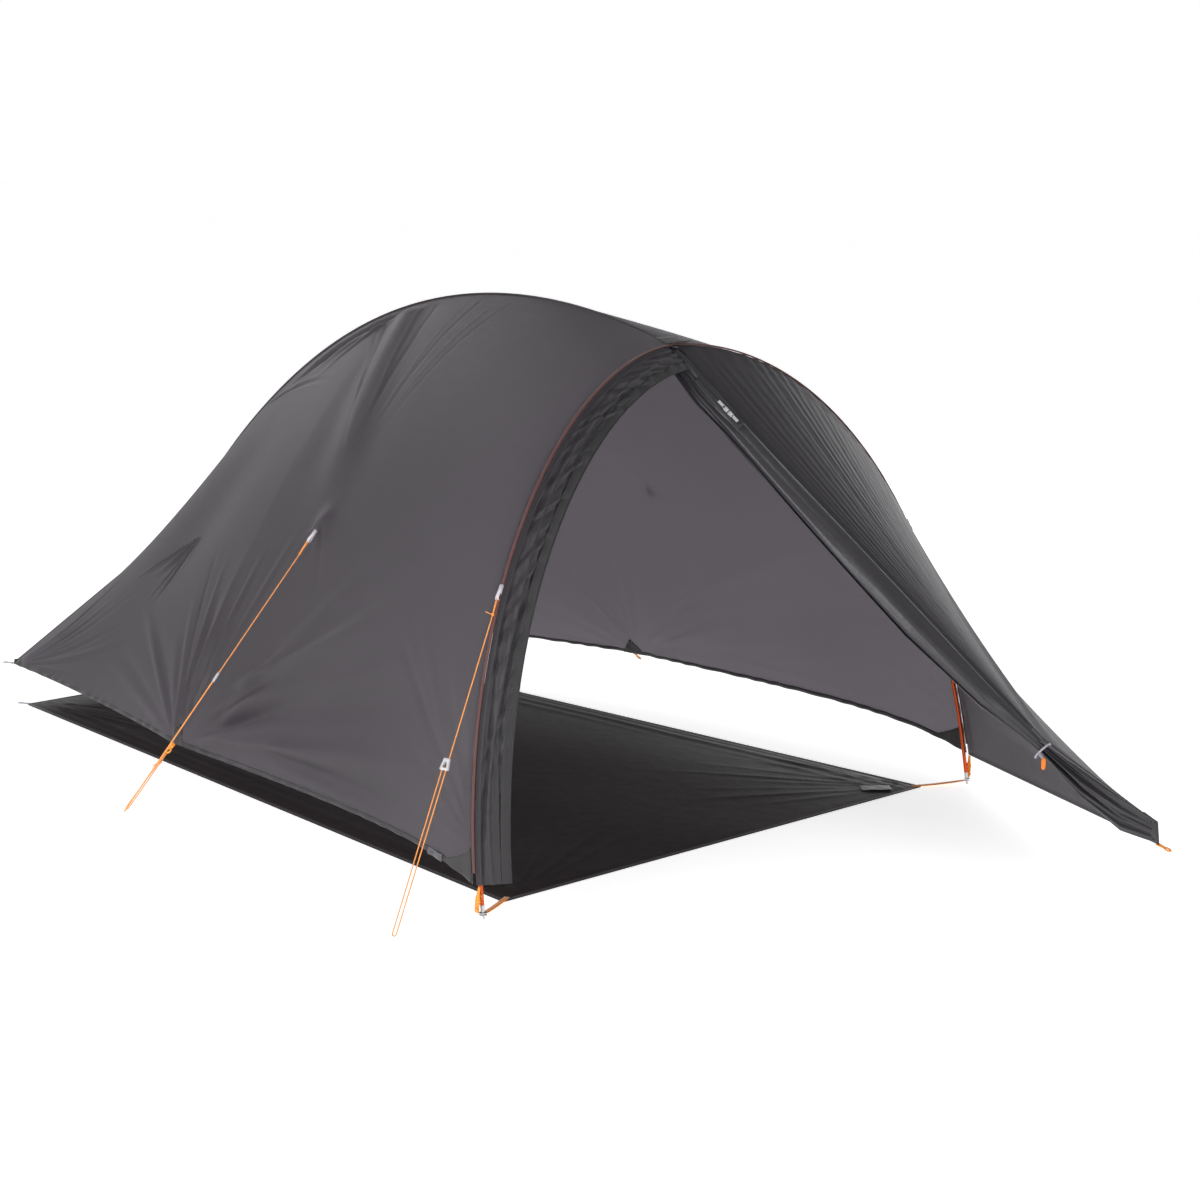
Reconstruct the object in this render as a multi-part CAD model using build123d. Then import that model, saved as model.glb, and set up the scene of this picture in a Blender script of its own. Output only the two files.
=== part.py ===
from build123d import *
import math
import os

# A light two-person tent: a fly on a three-legged pole frame, with its groundsheet.
# Millimetres. X runs across the tent, Y from the door to the back, Z up.
# Lengths along Y are first measured from the line between the two front pole feet,
# and MIDDLE_Y moves the finished parts so that the origin is under the middle.
MIDDLE_Y = 738.33

# front arch, where the fly body meets the door end
ARCH_HALF_WIDTH = 778.0
ARCH_HEIGHT = 1097.0
ARCH_LEAN = 245.0
CORNER_HEIGHT = 72.0

# ridge line
RIDGE_PEAK_Y = 800.0
RIDGE_PEAK_Z = 1178.0
RIDGE_BEND = 0.30
RIDGE_TIGHTENING = 0.03
RIDGE_END_Y = 2250.0

# lower edge of the fly
HEM_FRONT = (775.0, 20.0)
HEM_SIDE = (745.0, 1165.0)
HEM_REAR = (515.0, 2340.0)
HEM_RISE = 66.0
HEM_RISE_LENGTH = 200.0
HEM_REAR_DROP = 38.0

# door end
TIE_POINT = Vector(205, -645, 330)
TIP_TOP = Vector(298, -862, 186)
TIP_BOTTOM = Vector(300, -866, 140)
STRIP_WIDTH = 70.0

# poles
POLE_OUTER = 4.35
POLE_INNER = 3.65
FERRULE_OUTER = 2.9
FERRULE_INNER = 2.0
FERRULE_LENGTH = 50.0
SHOCK_CORD_RADIUS = 1.0
POLE_UNDER_FLY = 15.0
LEG_SECTIONS = 4
LEG_SECTION_LENGTH = 357.0
SPINE_SECTIONS = 8
SPINE_SECTION_LENGTH = 336.0
HUB_REACH = 16.0
HUB_BALL = 8.0
HUB_SOCKET_OUTER = 6.5
HUB_SOCKET_INNER = 4.8
HUB_SOCKET_LENGTH = 42.0
HUB_SEAT = 15.0
SECTION_GAP = 0.3
TIP_LENGTH = 30.0
TIP_BALL = 3.0
TIP_NECK = 2.2
TIP_SHOULDER_AT = 0.52
SPINE_BEND_Y = 2150.0
SPINE_BEND_RADIUS = 350.0
SPINE_FOOT_SLOPE = 85.0

# cloth, webbing and cord
CLOTH = 1.5
WEBBING = 1.5
STRAP_WIDTH = 12.0
CORD_RADIUS = 1.25
PIPING_RADIUS = 1.6
ZIP_CHAIN_RADIUS = 2.0
ZIP_BESIDE_STRIP = 3.2
PEG_EYE_RADIUS = 4.0
GUY_EYE_RADIUS = 2.6
EYELET_OUTER = 8.0
EYELET_INNER = 3.2
EYELET_THICKNESS = 2.0
EYELET_HEIGHT = 10.0
SEAM_GAP = 0.0022
RIDGE_GAP = 1.7
REAR_PANEL_GAP = 2.5
TAG_LENGTH = 44.0
TAG_WIDTH = 16.0
TAG_THICKNESS = 1.0

# groundsheet
SHEET_THICKNESS = 2.0
SHEET_FRONT_HALF = 658.0
SHEET_REAR_HALF = 525.0
SHEET_FRONT_Y = 62.0
SHEET_REAR_Y = 2245.0
PATCH_CENTRE = (556.0, 112.0)
PATCH_SIZE = (72.0, 38.0)
PATCH_TURN = -38.0
PATCH_THICKNESS = 0.8

# guylines, on the left side
GUY_ANGLE = 36.5
MID_GUY_U = 0.35
MID_GUY_V = 0.6
MID_PEG = Vector(-900, 1140, 4)
FRONT_PEG = Vector(-965, 27, 4)
LOOP_RADIUS = 5.0
TENSIONER_SHARE = 0.5
TENSIONER_SIZE = (25.0, 19.0, 6.0)
TENSIONER_CORNER = 3.0
TENSIONER_BORE = 1.7

# rolled door: stations along it with their radius, and along its loose tail with height and thickness
ROLL_STATIONS = ((0.05, 16), (0.2, 26), (0.45, 31), (0.7, 33), (0.88, 25), (0.985, 14))
TAIL_STATIONS = ((0.05, 15, 10), (0.35, 30, 8), (0.7, 34, 5), (0.97, 22, 2.5))
ROLL_CLEARANCE = 5.0
CHAIN_START = 0.09
CHAIN_LENGTH = 150.0
SLIDER_UPPER_AT = 100.0
SLIDER_LOWER_AT = 114.0
TIE_LOOP_RADIUS = 19.0
TIE_LOOP_THICKNESS = 1.5
TOGGLE_LENGTH = 24.0
TOGGLE_WIDTH = 9.0
TOGGLE_THICKNESS = 3.0
TOGGLE_HOLE = 0.8
TOGGLE_HOLE_BELOW_TOP = 2.5

UP = Vector(0, 0, 1)

made = {}


def keep(name, *shapes):
    """Files the solids of one piece under its name."""
    made[name] = Compound(children=[s for shape in shapes for s in shape.solids()])


# ---------------------------------------------------------------- the fly's own curves


def arch_point(angle, inset=0.0):
    """A point of the front arch on the right side; 0 degrees is its foot and 90 its top."""
    turn = math.radians(angle)
    return Vector(
        (ARCH_HALF_WIDTH - inset) * math.cos(turn),
        ARCH_LEAN * angle / 90,
        (ARCH_HEIGHT - inset) * math.sin(turn),
    )


def ridge_height(y):
    beyond = (y - RIDGE_PEAK_Y) / 1000
    fall = RIDGE_BEND * beyond**2 + RIDGE_TIGHTENING * beyond**3
    return RIDGE_PEAK_Z - 1000 * fall


def hem_point(u):
    """A point of the lower edge on the right side; u is 0 at the front corner and 1 at the back."""
    y = HEM_FRONT[1] + u * (HEM_REAR[1] - HEM_FRONT[1])
    rise = HEM_RISE * (1 - math.exp(-(y - HEM_FRONT[1]) / HEM_RISE_LENGTH))
    if y < HEM_SIDE[1]:
        share = (y - HEM_FRONT[1]) / (HEM_SIDE[1] - HEM_FRONT[1])
        return Vector(HEM_FRONT[0] + share * (HEM_SIDE[0] - HEM_FRONT[0]), y, CORNER_HEIGHT + rise)
    share = (y - HEM_SIDE[1]) / (HEM_REAR[1] - HEM_SIDE[1])
    x = HEM_SIDE[0] + share * (HEM_REAR[0] - HEM_SIDE[0])
    return Vector(x, y, CORNER_HEIGHT + rise - HEM_REAR_DROP * share**2)


FOOT_ANGLE = math.degrees(math.asin(CORNER_HEIGHT / ARCH_HEIGHT))


def arch_at(v):
    return arch_point(90 + v * (FOOT_ANGLE - 90))


def body_point(u, v):
    """A point of the right half of the fly body: u runs back, v from the ridge down to the hem."""
    y = ARCH_LEAN + u * (RIDGE_END_Y - ARCH_LEAN)
    top = Vector(0, y, ridge_height(y))
    straight = top + (hem_point(u) - top) * v
    first_top = Vector(0, ARCH_LEAN, ARCH_HEIGHT)
    first_straight = first_top + (hem_point(0) - first_top) * v
    return straight + (arch_at(v) - first_straight) * (1 - u) ** 1.5


def mirror_x(point):
    return Vector(-point.X, point.Y, point.Z)


def tie_edge(v):
    """The far end of the ruling that leaves the arch at v: at the tie first, then on to the tip."""
    gathered = 0.55
    if v < gathered:
        return TIE_POINT + (arch_at(0) - TIE_POINT) * 0.08 * (1 - v / gathered)
    share = (v - gathered) / (1 - gathered)
    turn = 0.85
    if share < turn:
        return TIE_POINT + (TIP_TOP - TIE_POINT) * (share / turn)
    return TIP_TOP + (TIP_BOTTOM - TIP_TOP) * ((share - turn) / (1 - turn))


def shell(grid, outward):
    """A cloth panel through a grid of points, thickened inwards."""
    face = Face.make_surface_from_array_of_points(grid, tol=0.5, min_deg=3)
    return Solid.thicken(face, -CLOTH, normal_override=outward)


def steps(count, low=0.0, high=1.0):
    return [low + (high - low) * i / count for i in range(count + 1)]


# ---------------------------------------------------------------- small builders


def bar(start, end, width, thickness, facing):
    """A straight strap from start to end, whose flat side faces facing."""
    run = end - start
    plane = Plane(origin=(start + end) * 0.5, x_dir=run, z_dir=facing - run * (facing.dot(run) / run.dot(run)))
    return plane * Box(run.length, width, thickness)


def tube(wire, outer, inner=0.0):
    section = Plane(origin=wire @ 0, z_dir=wire % 0) * Circle(outer)
    if inner:
        section -= Plane(origin=wire @ 0, z_dir=wire % 0) * Circle(inner)
    return sweep(section, path=wire)


def smooth_path(name, points):
    """Straight runs joined by tangent arcs, each as large as its two runs allow."""
    radii = []
    for before, here, after in zip(points, points[1:], points[2:]):
        turn = math.radians((here - before).get_angle(after - here))
        shorter = min((here - before).length, (after - here).length)
        radii.append(0.45 * shorter / math.tan(turn / 2))
    print(name, "radii", [round(r) for r in radii])
    return FilletPolyline(*points, radius=radii)


def cylinder_between(start, end, radius):
    return Solid.make_cylinder(radius, (end - start).length, Plane(origin=start, z_dir=end - start))


def peg_tab(name, start, way, facing, reach=34.0):
    """A webbing tab with a round eye for a peg near its outer end."""
    strap = bar(start, start + way * reach, 16, 1.8, facing)
    eye = start + way * (reach - 9)
    normal = (facing - way * facing.dot(way)).normalized()
    print(name, "eye", eye, "normal", normal)
    return strap - cylinder_between(eye - normal * 4, eye + normal * 4, PEG_EYE_RADIUS)


def eyelet(centre):
    ring = Cylinder(EYELET_OUTER, EYELET_THICKNESS) - Cylinder(EYELET_INNER, EYELET_THICKNESS)
    return Pos(*centre) * ring


# ---------------------------------------------------------------- poles


def leg_curve(s):
    """The right front leg's middle line, from the hub at 0 to the foot at 1."""
    return arch_point(90 * (1 - s), POLE_UNDER_FLY)


def spine_curve(s):
    """The ridge pole's middle line: under the ridge, then a bent last section down to its foot."""
    bend = Vector(0, SPINE_BEND_Y, ridge_height(SPINE_BEND_Y) - POLE_UNDER_FLY)
    beyond = (SPINE_BEND_Y - RIDGE_PEAK_Y) / 1000
    slope = math.degrees(math.atan(2 * RIDGE_BEND * beyond + 3 * RIDGE_TIGHTENING * beyond**2))
    under_ridge = 0.78
    through_bend = 0.88
    if s <= under_ridge:
        y = ARCH_LEAN + s / under_ridge * (SPINE_BEND_Y - ARCH_LEAN)
        return Vector(0, y, ridge_height(y) - POLE_UNDER_FLY)
    first = math.radians(slope)
    share = min(1.0, (s - under_ridge) / (through_bend - under_ridge))
    turn = first + share * (math.radians(SPINE_FOOT_SLOPE) - first)
    y = bend.Y + SPINE_BEND_RADIUS * (math.sin(turn) - math.sin(first))
    z = bend.Z - SPINE_BEND_RADIUS * (math.cos(first) - math.cos(turn))
    if s <= through_bend:
        return Vector(0, y, z)
    down = (s - through_bend) / (1 - through_bend)
    return Vector(0, y + down * z / math.tan(math.radians(SPINE_FOOT_SLOPE)), z * (1 - down))


def walk(curve, count=400):
    """Points along a curve with the length reached at each."""
    points = [curve(i / count) for i in range(count + 1)]
    reached = [0.0]
    for a, b in zip(points, points[1:]):
        reached.append(reached[-1] + (b - a).length)
    return points, reached


def point_at(points, reached, distance):
    for i in range(1, len(points)):
        if reached[i] >= distance:
            share = (distance - reached[i - 1]) / (reached[i] - reached[i - 1])
            return points[i - 1] + (points[i] - points[i - 1]) * share
    return points[-1]


def section_path(name, points, reached, low, high):
    """The middle line of one pole section: straight, one arc, or tangent arcs where it is pre-bent."""
    stops = [point_at(points, reached, low + share * (high - low)) for share in steps(8)]
    chord = (stops[-1] - stops[0]).normalized()
    if (stops[4] - stops[0]).cross(chord).length < 0.2:
        return Line(stops[0], stops[-1])
    arc = ThreePointArc(stops[0], stops[4], stops[-1])
    if (arc @ 0.25 - stops[2]).length < 0.6 and (arc @ 0.75 - stops[6]).length < 0.6:
        return arc
    return smooth_path(name, [stops[0], stops[2], stops[3], stops[5], stops[6], stops[7], stops[8]])


def pole(name, curve, sections, each):
    """The hollow sections of one pole, the ferrules inside its joints and its shock cord."""
    points, reached = walk(curve)
    start = HUB_REACH
    end = reached[-1] - TIP_LENGTH
    tubes = []
    cords = []
    ferrules = []
    for i in range(sections):
        low = start + i * each + SECTION_GAP
        high = end if i == sections - 1 else start + (i + 1) * each - SECTION_GAP
        path = section_path(name, points, reached, low, high)
        tubes.append(tube(path, POLE_OUTER, POLE_INNER))
        cords.append(tube(path, SHOCK_CORD_RADIUS))
        if i:
            joint = start + i * each
            a = point_at(points, reached, joint - FERRULE_LENGTH / 2)
            b = point_at(points, reached, joint + FERRULE_LENGTH / 2)
            sleeve = cylinder_between(a, b, FERRULE_OUTER) - cylinder_between(a, b, FERRULE_INNER)
            ferrules.append(sleeve)
    print(name, "length", round(reached[-1]))
    return tubes, ferrules, cords


def tip_line(curve):
    """The two ends of a pole tip's middle line: the ball's centre and the tube's end."""
    points, reached = walk(curve)
    foot = curve(1)
    return Vector(foot.X, foot.Y, TIP_BALL), point_at(points, reached, reached[-1] - TIP_LENGTH + 0.5)


def tip_at(curve, height):
    low, top = tip_line(curve)
    return low + (top - low) * ((height - low.Z) / (top.Z - low.Z))


def pole_tip(curve):
    """A metal tip: a shoulder in the tube's end, a neck for the eyelets and a round foot."""
    low, top = tip_line(curve)
    shoulder = low + (top - low) * TIP_SHOULDER_AT
    parts = cylinder_between(shoulder, top, POLE_OUTER) + cylinder_between(low, shoulder, TIP_NECK)
    return parts + Pos(*low) * Sphere(TIP_BALL)


def left_leg(s):
    return mirror_x(leg_curve(s))


POLES = (
    ("front_left_leg", left_leg, LEG_SECTIONS, LEG_SECTION_LENGTH),
    ("front_right_leg", leg_curve, LEG_SECTIONS, LEG_SECTION_LENGTH),
    ("ridge_pole", spine_curve, SPINE_SECTIONS, SPINE_SECTION_LENGTH),
)
all_ferrules = []
all_cords = []
all_tips = []
for pole_name, pole_curve, pole_sections, pole_each in POLES:
    tubes, ferrules, cords = pole(pole_name, pole_curve, pole_sections, pole_each)
    for number, section in enumerate(tubes, 1):
        keep(f"{pole_name}_section_{number}", section)
    all_ferrules += ferrules
    all_cords += cords
    all_tips.append(pole_tip(pole_curve))
keep("pole_tips", *all_tips)
keep("pole_ferrules", *all_ferrules)
keep("shock_cords", *all_cords)

hub_centre = leg_curve(0)
hub = Pos(*hub_centre) * Sphere(HUB_BALL)
for curve in (leg_curve, left_leg, spine_curve):
    points, reached = walk(curve)
    mouth = point_at(points, reached, HUB_SOCKET_LENGTH)
    hub += cylinder_between(hub_centre, mouth, HUB_SOCKET_OUTER)
for curve in (leg_curve, left_leg, spine_curve):
    points, reached = walk(curve)
    seat = point_at(points, reached, HUB_SEAT)
    mouth = point_at(points, reached, HUB_SOCKET_LENGTH + 1)
    hub -= cylinder_between(seat, mouth, HUB_SOCKET_INNER)
keep("pole_hub", hub)

# ---------------------------------------------------------------- fly body

rows = [[body_point(SEAM_GAP + u * (1 - SEAM_GAP), v) for v in steps(10)] for u in steps(12)]
rows = [[Vector(max(p.X, RIDGE_GAP), p.Y, p.Z) for p in row] for row in rows]
keep("fly_right_panel", shell(rows, Vector(1, 0, 0.6)))
keep("fly_left_panel", shell([[mirror_x(p) for p in row] for row in rows], Vector(-1, 0, 0.6)))

ridge_end = body_point(1, 0)
rear_gap = Vector(0, REAR_PANEL_GAP, 0)
rear_left = mirror_x(hem_point(1)) + Vector(4, 0, 0)
rear_right = hem_point(1) - Vector(4, 0, 0)
rear_outline = Polyline(
    ridge_end + rear_gap,
    rear_left + rear_gap,
    rear_right + rear_gap,
    ridge_end + rear_gap,
)
rear_face = make_face(rear_outline)
keep("fly_rear_panel", Solid.thicken(rear_face.faces()[0], CLOTH, normal_override=Vector(0, 1, 0)))

seam_points = [arch_point(a) for a in steps(9, 84, FOOT_ANGLE + 0.6)]
seam_sides = (seam_points, [mirror_x(p) for p in seam_points])
keep("arch_piping", *[tube(smooth_path("arch piping", side), PIPING_RADIUS) for side in seam_sides])

# ---------------------------------------------------------------- door end

fixed_rows = []
for t in steps(8, 0.004, 1):
    fixed_rows.append([arch_at(v) * (1 - t) + tie_edge(v) * t for v in steps(12, 0.0, 1)])
keep("vestibule_right_panel", shell(fixed_rows, Vector(0.5, -0.5, 0.6)))

strip_rows = []
for w in (4.0, 0.5 * STRIP_WIDTH, STRIP_WIDTH):
    row = []
    for v in steps(12, 0.04, 1):
        edge = mirror_x(arch_at(v))
        row.append(edge + (tie_edge(v) - edge).normalized() * w)
    strip_rows.append(row)
keep("vestibule_left_strip", shell(strip_rows, Vector(-1, -0.3, 0.3)))

zip_line = []
for v in steps(9, 0.08, 1):
    edge = mirror_x(arch_at(v))
    zip_line.append(edge + (tie_edge(v) - edge).normalized() * (STRIP_WIDTH + ZIP_BESIDE_STRIP))
keep("door_zip_chain", tube(smooth_path("door zip", zip_line), ZIP_CHAIN_RADIUS))

# the door, rolled up under the upper edge and gathered at the tie
apex = arch_at(0)
roll_run = TIE_POINT - apex
roll_side = Vector(-0.72, -0.1, -0.62)
roll_side = (roll_side - roll_run * (roll_side.dot(roll_run) / roll_run.dot(roll_run))).normalized()
roll_sections = []
for share, radius in ROLL_STATIONS:
    centre = apex + roll_run * share + roll_side * (radius + ROLL_CLEARANCE)
    roll_sections.append(Plane(origin=centre, z_dir=roll_run) * Circle(radius))
keep("rolled_door", loft(roll_sections))

tail_run = TIP_TOP - TIE_POINT
tail_sections = []
for share, tall, thick in TAIL_STATIONS:
    centre = TIE_POINT + tail_run * share + Vector(-0.8, -0.35, 0) * (thick + 4) - Vector(0, 0, tall)
    plane = Plane(origin=centre, x_dir=Vector(0, 0, 1), z_dir=tail_run)
    tail_sections.append(plane * Ellipse(tall, thick))
keep("door_tail", loft(tail_sections))

# ---------------------------------------------------------------- zip sliders and toggle

roll_dir = roll_run.normalized()
outwards = Vector(-0.6, -0.75, 0.2)
zip_face = (outwards - roll_dir * outwards.dot(roll_dir)).normalized()
chain_low = apex + roll_run * CHAIN_START + roll_side * 24 + zip_face * 33
chain_high = chain_low + roll_dir * CHAIN_LENGTH
keep("door_zip_head", bar(chain_low, chain_high, 5, 1.6, zip_face))


def slider(centre):
    plane = Plane(origin=centre, x_dir=roll_dir, z_dir=zip_face)
    body = Box(11, 9, 5) - Box(12, 5.8, 2.4)
    bridge = Pos(0, 0, 4.2) * (Box(7, 3, 3.4) - Pos(0, 0, -0.2) * Box(3.4, 4, 1.8))
    return plane * (body + bridge)


def pull(centre, way):
    plane = Plane(origin=centre, x_dir=roll_dir * way, z_dir=zip_face)
    pin = Pos(0, 0, 4.0) * Rot(90, 0, 0) * Cylinder(0.7, 6.4)
    arms = Pos(5, 2.7, 4.0) * Box(10, 1.0, 1.4) + Pos(5, -2.7, 4.0) * Box(10, 1.0, 1.4)
    tag = Pos(17, 0, 4.0) * Box(16, 6.4, 1.4)
    return plane * (pin + arms + tag)


for name, distance, way in (("upper", SLIDER_UPPER_AT, -1), ("lower", SLIDER_LOWER_AT, 1)):
    centre = chain_low + roll_dir * distance
    keep(f"zip_slider_{name}", slider(centre))
    keep(f"zip_pull_{name}", pull(centre, way))
    print("zip", name, centre)
print("zip axis", roll_dir, "pull axis", zip_face.cross(roll_dir), "pull pin", zip_face * 4.0)

loop_centre = TIE_POINT + roll_side * 19 + roll_run * 0.012
loop_plane = Plane(origin=loop_centre, z_dir=roll_run)
keep("door_tie_loop", loop_plane * Torus(TIE_LOOP_RADIUS, TIE_LOOP_THICKNESS))
toggle_top = loop_centre + Vector(-0.66, -0.6, -0.3).normalized() * 27
toggle_end = toggle_top - UP * TOGGLE_LENGTH
toggle_facing = Vector(-0.7, -0.7, 0)
toggle_pivot = toggle_top - UP * TOGGLE_HOLE_BELOW_TOP
hole_way = Vector(1, -1, 0).normalized() * TOGGLE_WIDTH
toggle_hole = cylinder_between(toggle_pivot - hole_way, toggle_pivot + hole_way, TOGGLE_HOLE)
toggle = bar(toggle_top, toggle_end, TOGGLE_WIDTH, TOGGLE_THICKNESS, toggle_facing)
keep("door_toggle", toggle - toggle_hole)
print("toggle pivot", toggle_pivot)

# ---------------------------------------------------------------- groundsheet and its straps

sheet_outline = Polyline(
    (-SHEET_FRONT_HALF, SHEET_FRONT_Y),
    (SHEET_FRONT_HALF, SHEET_FRONT_Y),
    (SHEET_REAR_HALF, SHEET_REAR_Y),
    (-SHEET_REAR_HALF, SHEET_REAR_Y),
    close=True,
)
keep("groundsheet", extrude(make_face(sheet_outline), SHEET_THICKNESS))

eyelets = []
ladders = []
sheet_straps = []
rear_sheet_tabs = []
rear_fly_tabs = []
for side, name, leg in ((-1, "left", left_leg), (1, "right", leg_curve)):
    foot = tip_at(leg, EYELET_HEIGHT)
    eyelets.append(eyelet(foot))
    corner = Vector(side * SHEET_FRONT_HALF, SHEET_FRONT_Y, SHEET_THICKNESS + 1)
    towards = (corner - foot).normalized()
    sheet_straps.append(bar(foot + towards * 8.5, corner - towards * 2, STRAP_WIDTH, WEBBING, UP))
    fly_corner = hem_point(0)
    fly_corner = Vector(side * (fly_corner.X - 2), fly_corner.Y - 12, CORNER_HEIGHT - 3)
    fly_eye = tip_at(leg, EYELET_HEIGHT + 4)
    eyelets.append(eyelet(fly_eye))
    strap_foot = fly_eye + Vector(side * 9.6, 0, 2)
    facing = Vector(side, 0, 0.2)
    keep(f"front_{name}_fly_strap", bar(fly_corner, strap_foot, STRAP_WIDTH, WEBBING, facing))
    run = strap_foot - fly_corner
    for k in range(4):
        place = fly_corner + run * (0.36 + 0.17 * k) + Vector(side * 3.2, 0, 0)
        ring = Box(run.length * 0.13, 9, 4) - Box(run.length * 0.13 - 2.4, 10, 2.2)
        ladders.append(Plane(origin=place, x_dir=run, z_dir=Vector(side, 0, 0)) * ring)
    rear_corner = Vector(side * SHEET_REAR_HALF, SHEET_REAR_Y, 1)
    out = Vector(side * 0.45, 0.9, 0).normalized()
    rear_sheet_tabs.append(peg_tab(f"rear {name} sheet", rear_corner + out * 2, out, UP))
    fly_rear = hem_point(1)
    fly_rear = Vector(side * fly_rear.X, fly_rear.Y, fly_rear.Z)
    rear_fly_tabs.append(peg_tab(f"rear {name} fly", fly_rear + out * 5, out, UP, 30))
    side_hem = hem_point((HEM_SIDE[1] - HEM_FRONT[1]) / (HEM_REAR[1] - HEM_FRONT[1]))
    side_hem = Vector(side * side_hem.X, side_hem.Y, side_hem.Z)
    way = Vector(side * 0.72, -0.1, -0.68).normalized()
    side_start = side_hem + way * 4
    keep(f"{name}_side_stake_tab", peg_tab(f"{name} side", side_start, way, Vector(side, 0, 1), 26))

rear_foot = tip_at(spine_curve, EYELET_HEIGHT)
eyelets.append(eyelet(rear_foot))
rear_edge = Vector(0, SHEET_REAR_Y + 1.5, SHEET_THICKNESS + 1)
sheet_straps.append(bar(rear_foot - Vector(0, 8.5, 0), rear_edge, STRAP_WIDTH, WEBBING, UP))
keep("strap_eyelets", *eyelets)
keep("fly_strap_ladders", *ladders)
keep("sheet_corner_straps", *sheet_straps)
keep("rear_sheet_tabs", *rear_sheet_tabs)
keep("rear_fly_tabs", *rear_fly_tabs)

tip_out = Vector(0.25, -0.9, -0.35).normalized()
tip_start = TIP_BOTTOM + tip_out * 5
keep("tip_stake_loop", peg_tab("tip", tip_start, tip_out, UP, 28))

# ---------------------------------------------------------------- label and patch

tag_top = mirror_x(hem_point(0.052)) + Vector(-2.5, 0, 6)
tag_run = mirror_x(hem_point(0.07)) - mirror_x(hem_point(0.034))
half_tag = tag_run.normalized() * TAG_LENGTH / 2
tag = bar(tag_top - half_tag, tag_top + half_tag, TAG_WIDTH, TAG_THICKNESS, Vector(-1, 0, 0))
keep("hem_tag", tag)
patch = Rot(0, 0, PATCH_TURN) * Box(*PATCH_SIZE, PATCH_THICKNESS)
keep("groundsheet_patch", Pos(*PATCH_CENTRE, SHEET_THICKNESS + 0.5) * patch)

# ---------------------------------------------------------------- guy-out tabs and guylines


def guy_tab(name, start, end_way):
    """A webbing tab with an eye at its outer end; returns the eye's centre."""
    end = start + end_way * 30
    facing = end_way.cross(Vector(0, 1, 0))
    strap = bar(start + end_way * 3, end, 10, 2, facing)
    eye = end - end_way * 6
    normal = facing.normalized()
    hole = cylinder_between(eye - normal * 4, eye + normal * 4, GUY_EYE_RADIUS)
    keep(name, strap - hole)
    print(name, "eye", eye, "normal", normal)
    return end


def guyline(name, tab_end, peg):
    """A taut cord from a tab to its peg loop, its return strand, and the tensioner on both."""
    down = (peg - tab_end).normalized()
    across = down.cross(UP).normalized()
    start = tab_end + down * 0.5
    turn = peg - down * LOOP_RADIUS
    far = turn + across * 2 * LOOP_RADIUS
    line = Line(start, turn)
    bend = ThreePointArc(turn, turn + across * LOOP_RADIUS + down * LOOP_RADIUS, far)
    keep(f"{name}_guyline", tube(Wire([line.edge(), bend.edge()]), CORD_RADIUS))
    middle = start + (turn - start) * TENSIONER_SHARE
    keep(f"{name}_guyline_return", tube(Line(far, middle + across * 2 * LOOP_RADIUS), CORD_RADIUS))
    facing = across.cross(down)
    plane = Plane(origin=middle + across * LOOP_RADIUS, x_dir=down, z_dir=facing)
    plate = fillet(Box(*TENSIONER_SIZE).edges().filter_by(Axis.Z), TENSIONER_CORNER)
    along = Rot(0, 90, 0) * Cylinder(TENSIONER_BORE, 2 * TENSIONER_SIZE[0])
    plate -= Pos(0, -LOOP_RADIUS, 0) * along
    plate -= Pos(0, LOOP_RADIUS, 0) * along
    keep(f"{name}_tensioner", plane * plate)
    print(name, "cord", round((turn - start).length + math.pi * LOOP_RADIUS), "start", start, "turn", turn)
    print(name, "far", far, "axis", down, "across", across, "middle", middle)


mid_base = mirror_x(body_point(MID_GUY_U, MID_GUY_V)) + Vector(-4, 0, 3)
mid_way = (MID_PEG - mid_base).normalized()
front_base = mirror_x(arch_point(GUY_ANGLE)) + Vector(-3, 0, 0)
front_way = (FRONT_PEG - front_base).normalized()
guyline("middle_left", guy_tab("middle_left_guy_tab", mid_base, mid_way), MID_PEG)
guyline("front_left", guy_tab("front_left_guy_tab", front_base, front_way), FRONT_PEG)
guy_tab("middle_right_guy_tab", mirror_x(mid_base), mirror_x(mid_way))
guy_tab("front_right_guy_tab", mirror_x(front_base), mirror_x(front_way))

# the loop of cord at the left side tab, which shares the middle guyline's peg
stake_way = Vector(-0.72, -0.1, -0.68).normalized()
stake_start = mirror_x(side_hem) + stake_way * 31
stake_end = MID_PEG + Vector(18, 14, 0)
down = (stake_end - stake_start).normalized()
across = down.cross(UP).normalized()
turn = stake_end - down * LOOP_RADIUS
bend = ThreePointArc(turn, turn + across * LOOP_RADIUS + down * LOOP_RADIUS, turn + across * 2 * LOOP_RADIUS)
side_cord = Wire([
    Line(stake_start, turn).edge(),
    bend.edge(),
    Line(turn + across * 2 * LOOP_RADIUS, stake_start + across * 4).edge(),
])
keep("left_side_stake_cord", tube(side_cord, CORD_RADIUS))
print("side cord", side_cord.length, stake_start, turn, across)

os.makedirs("parts", exist_ok=True)
for name, shape in made.items():
    export_step(Pos(0, -MIDDLE_Y, 0) * shape, f"parts/{name}.step")
print(len(made), "nodes")
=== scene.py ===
"""Makes the visible pieces of a light two-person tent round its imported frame."""
import math

import bpy
import numpy as np
from mathutils import Matrix, Vector


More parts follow.
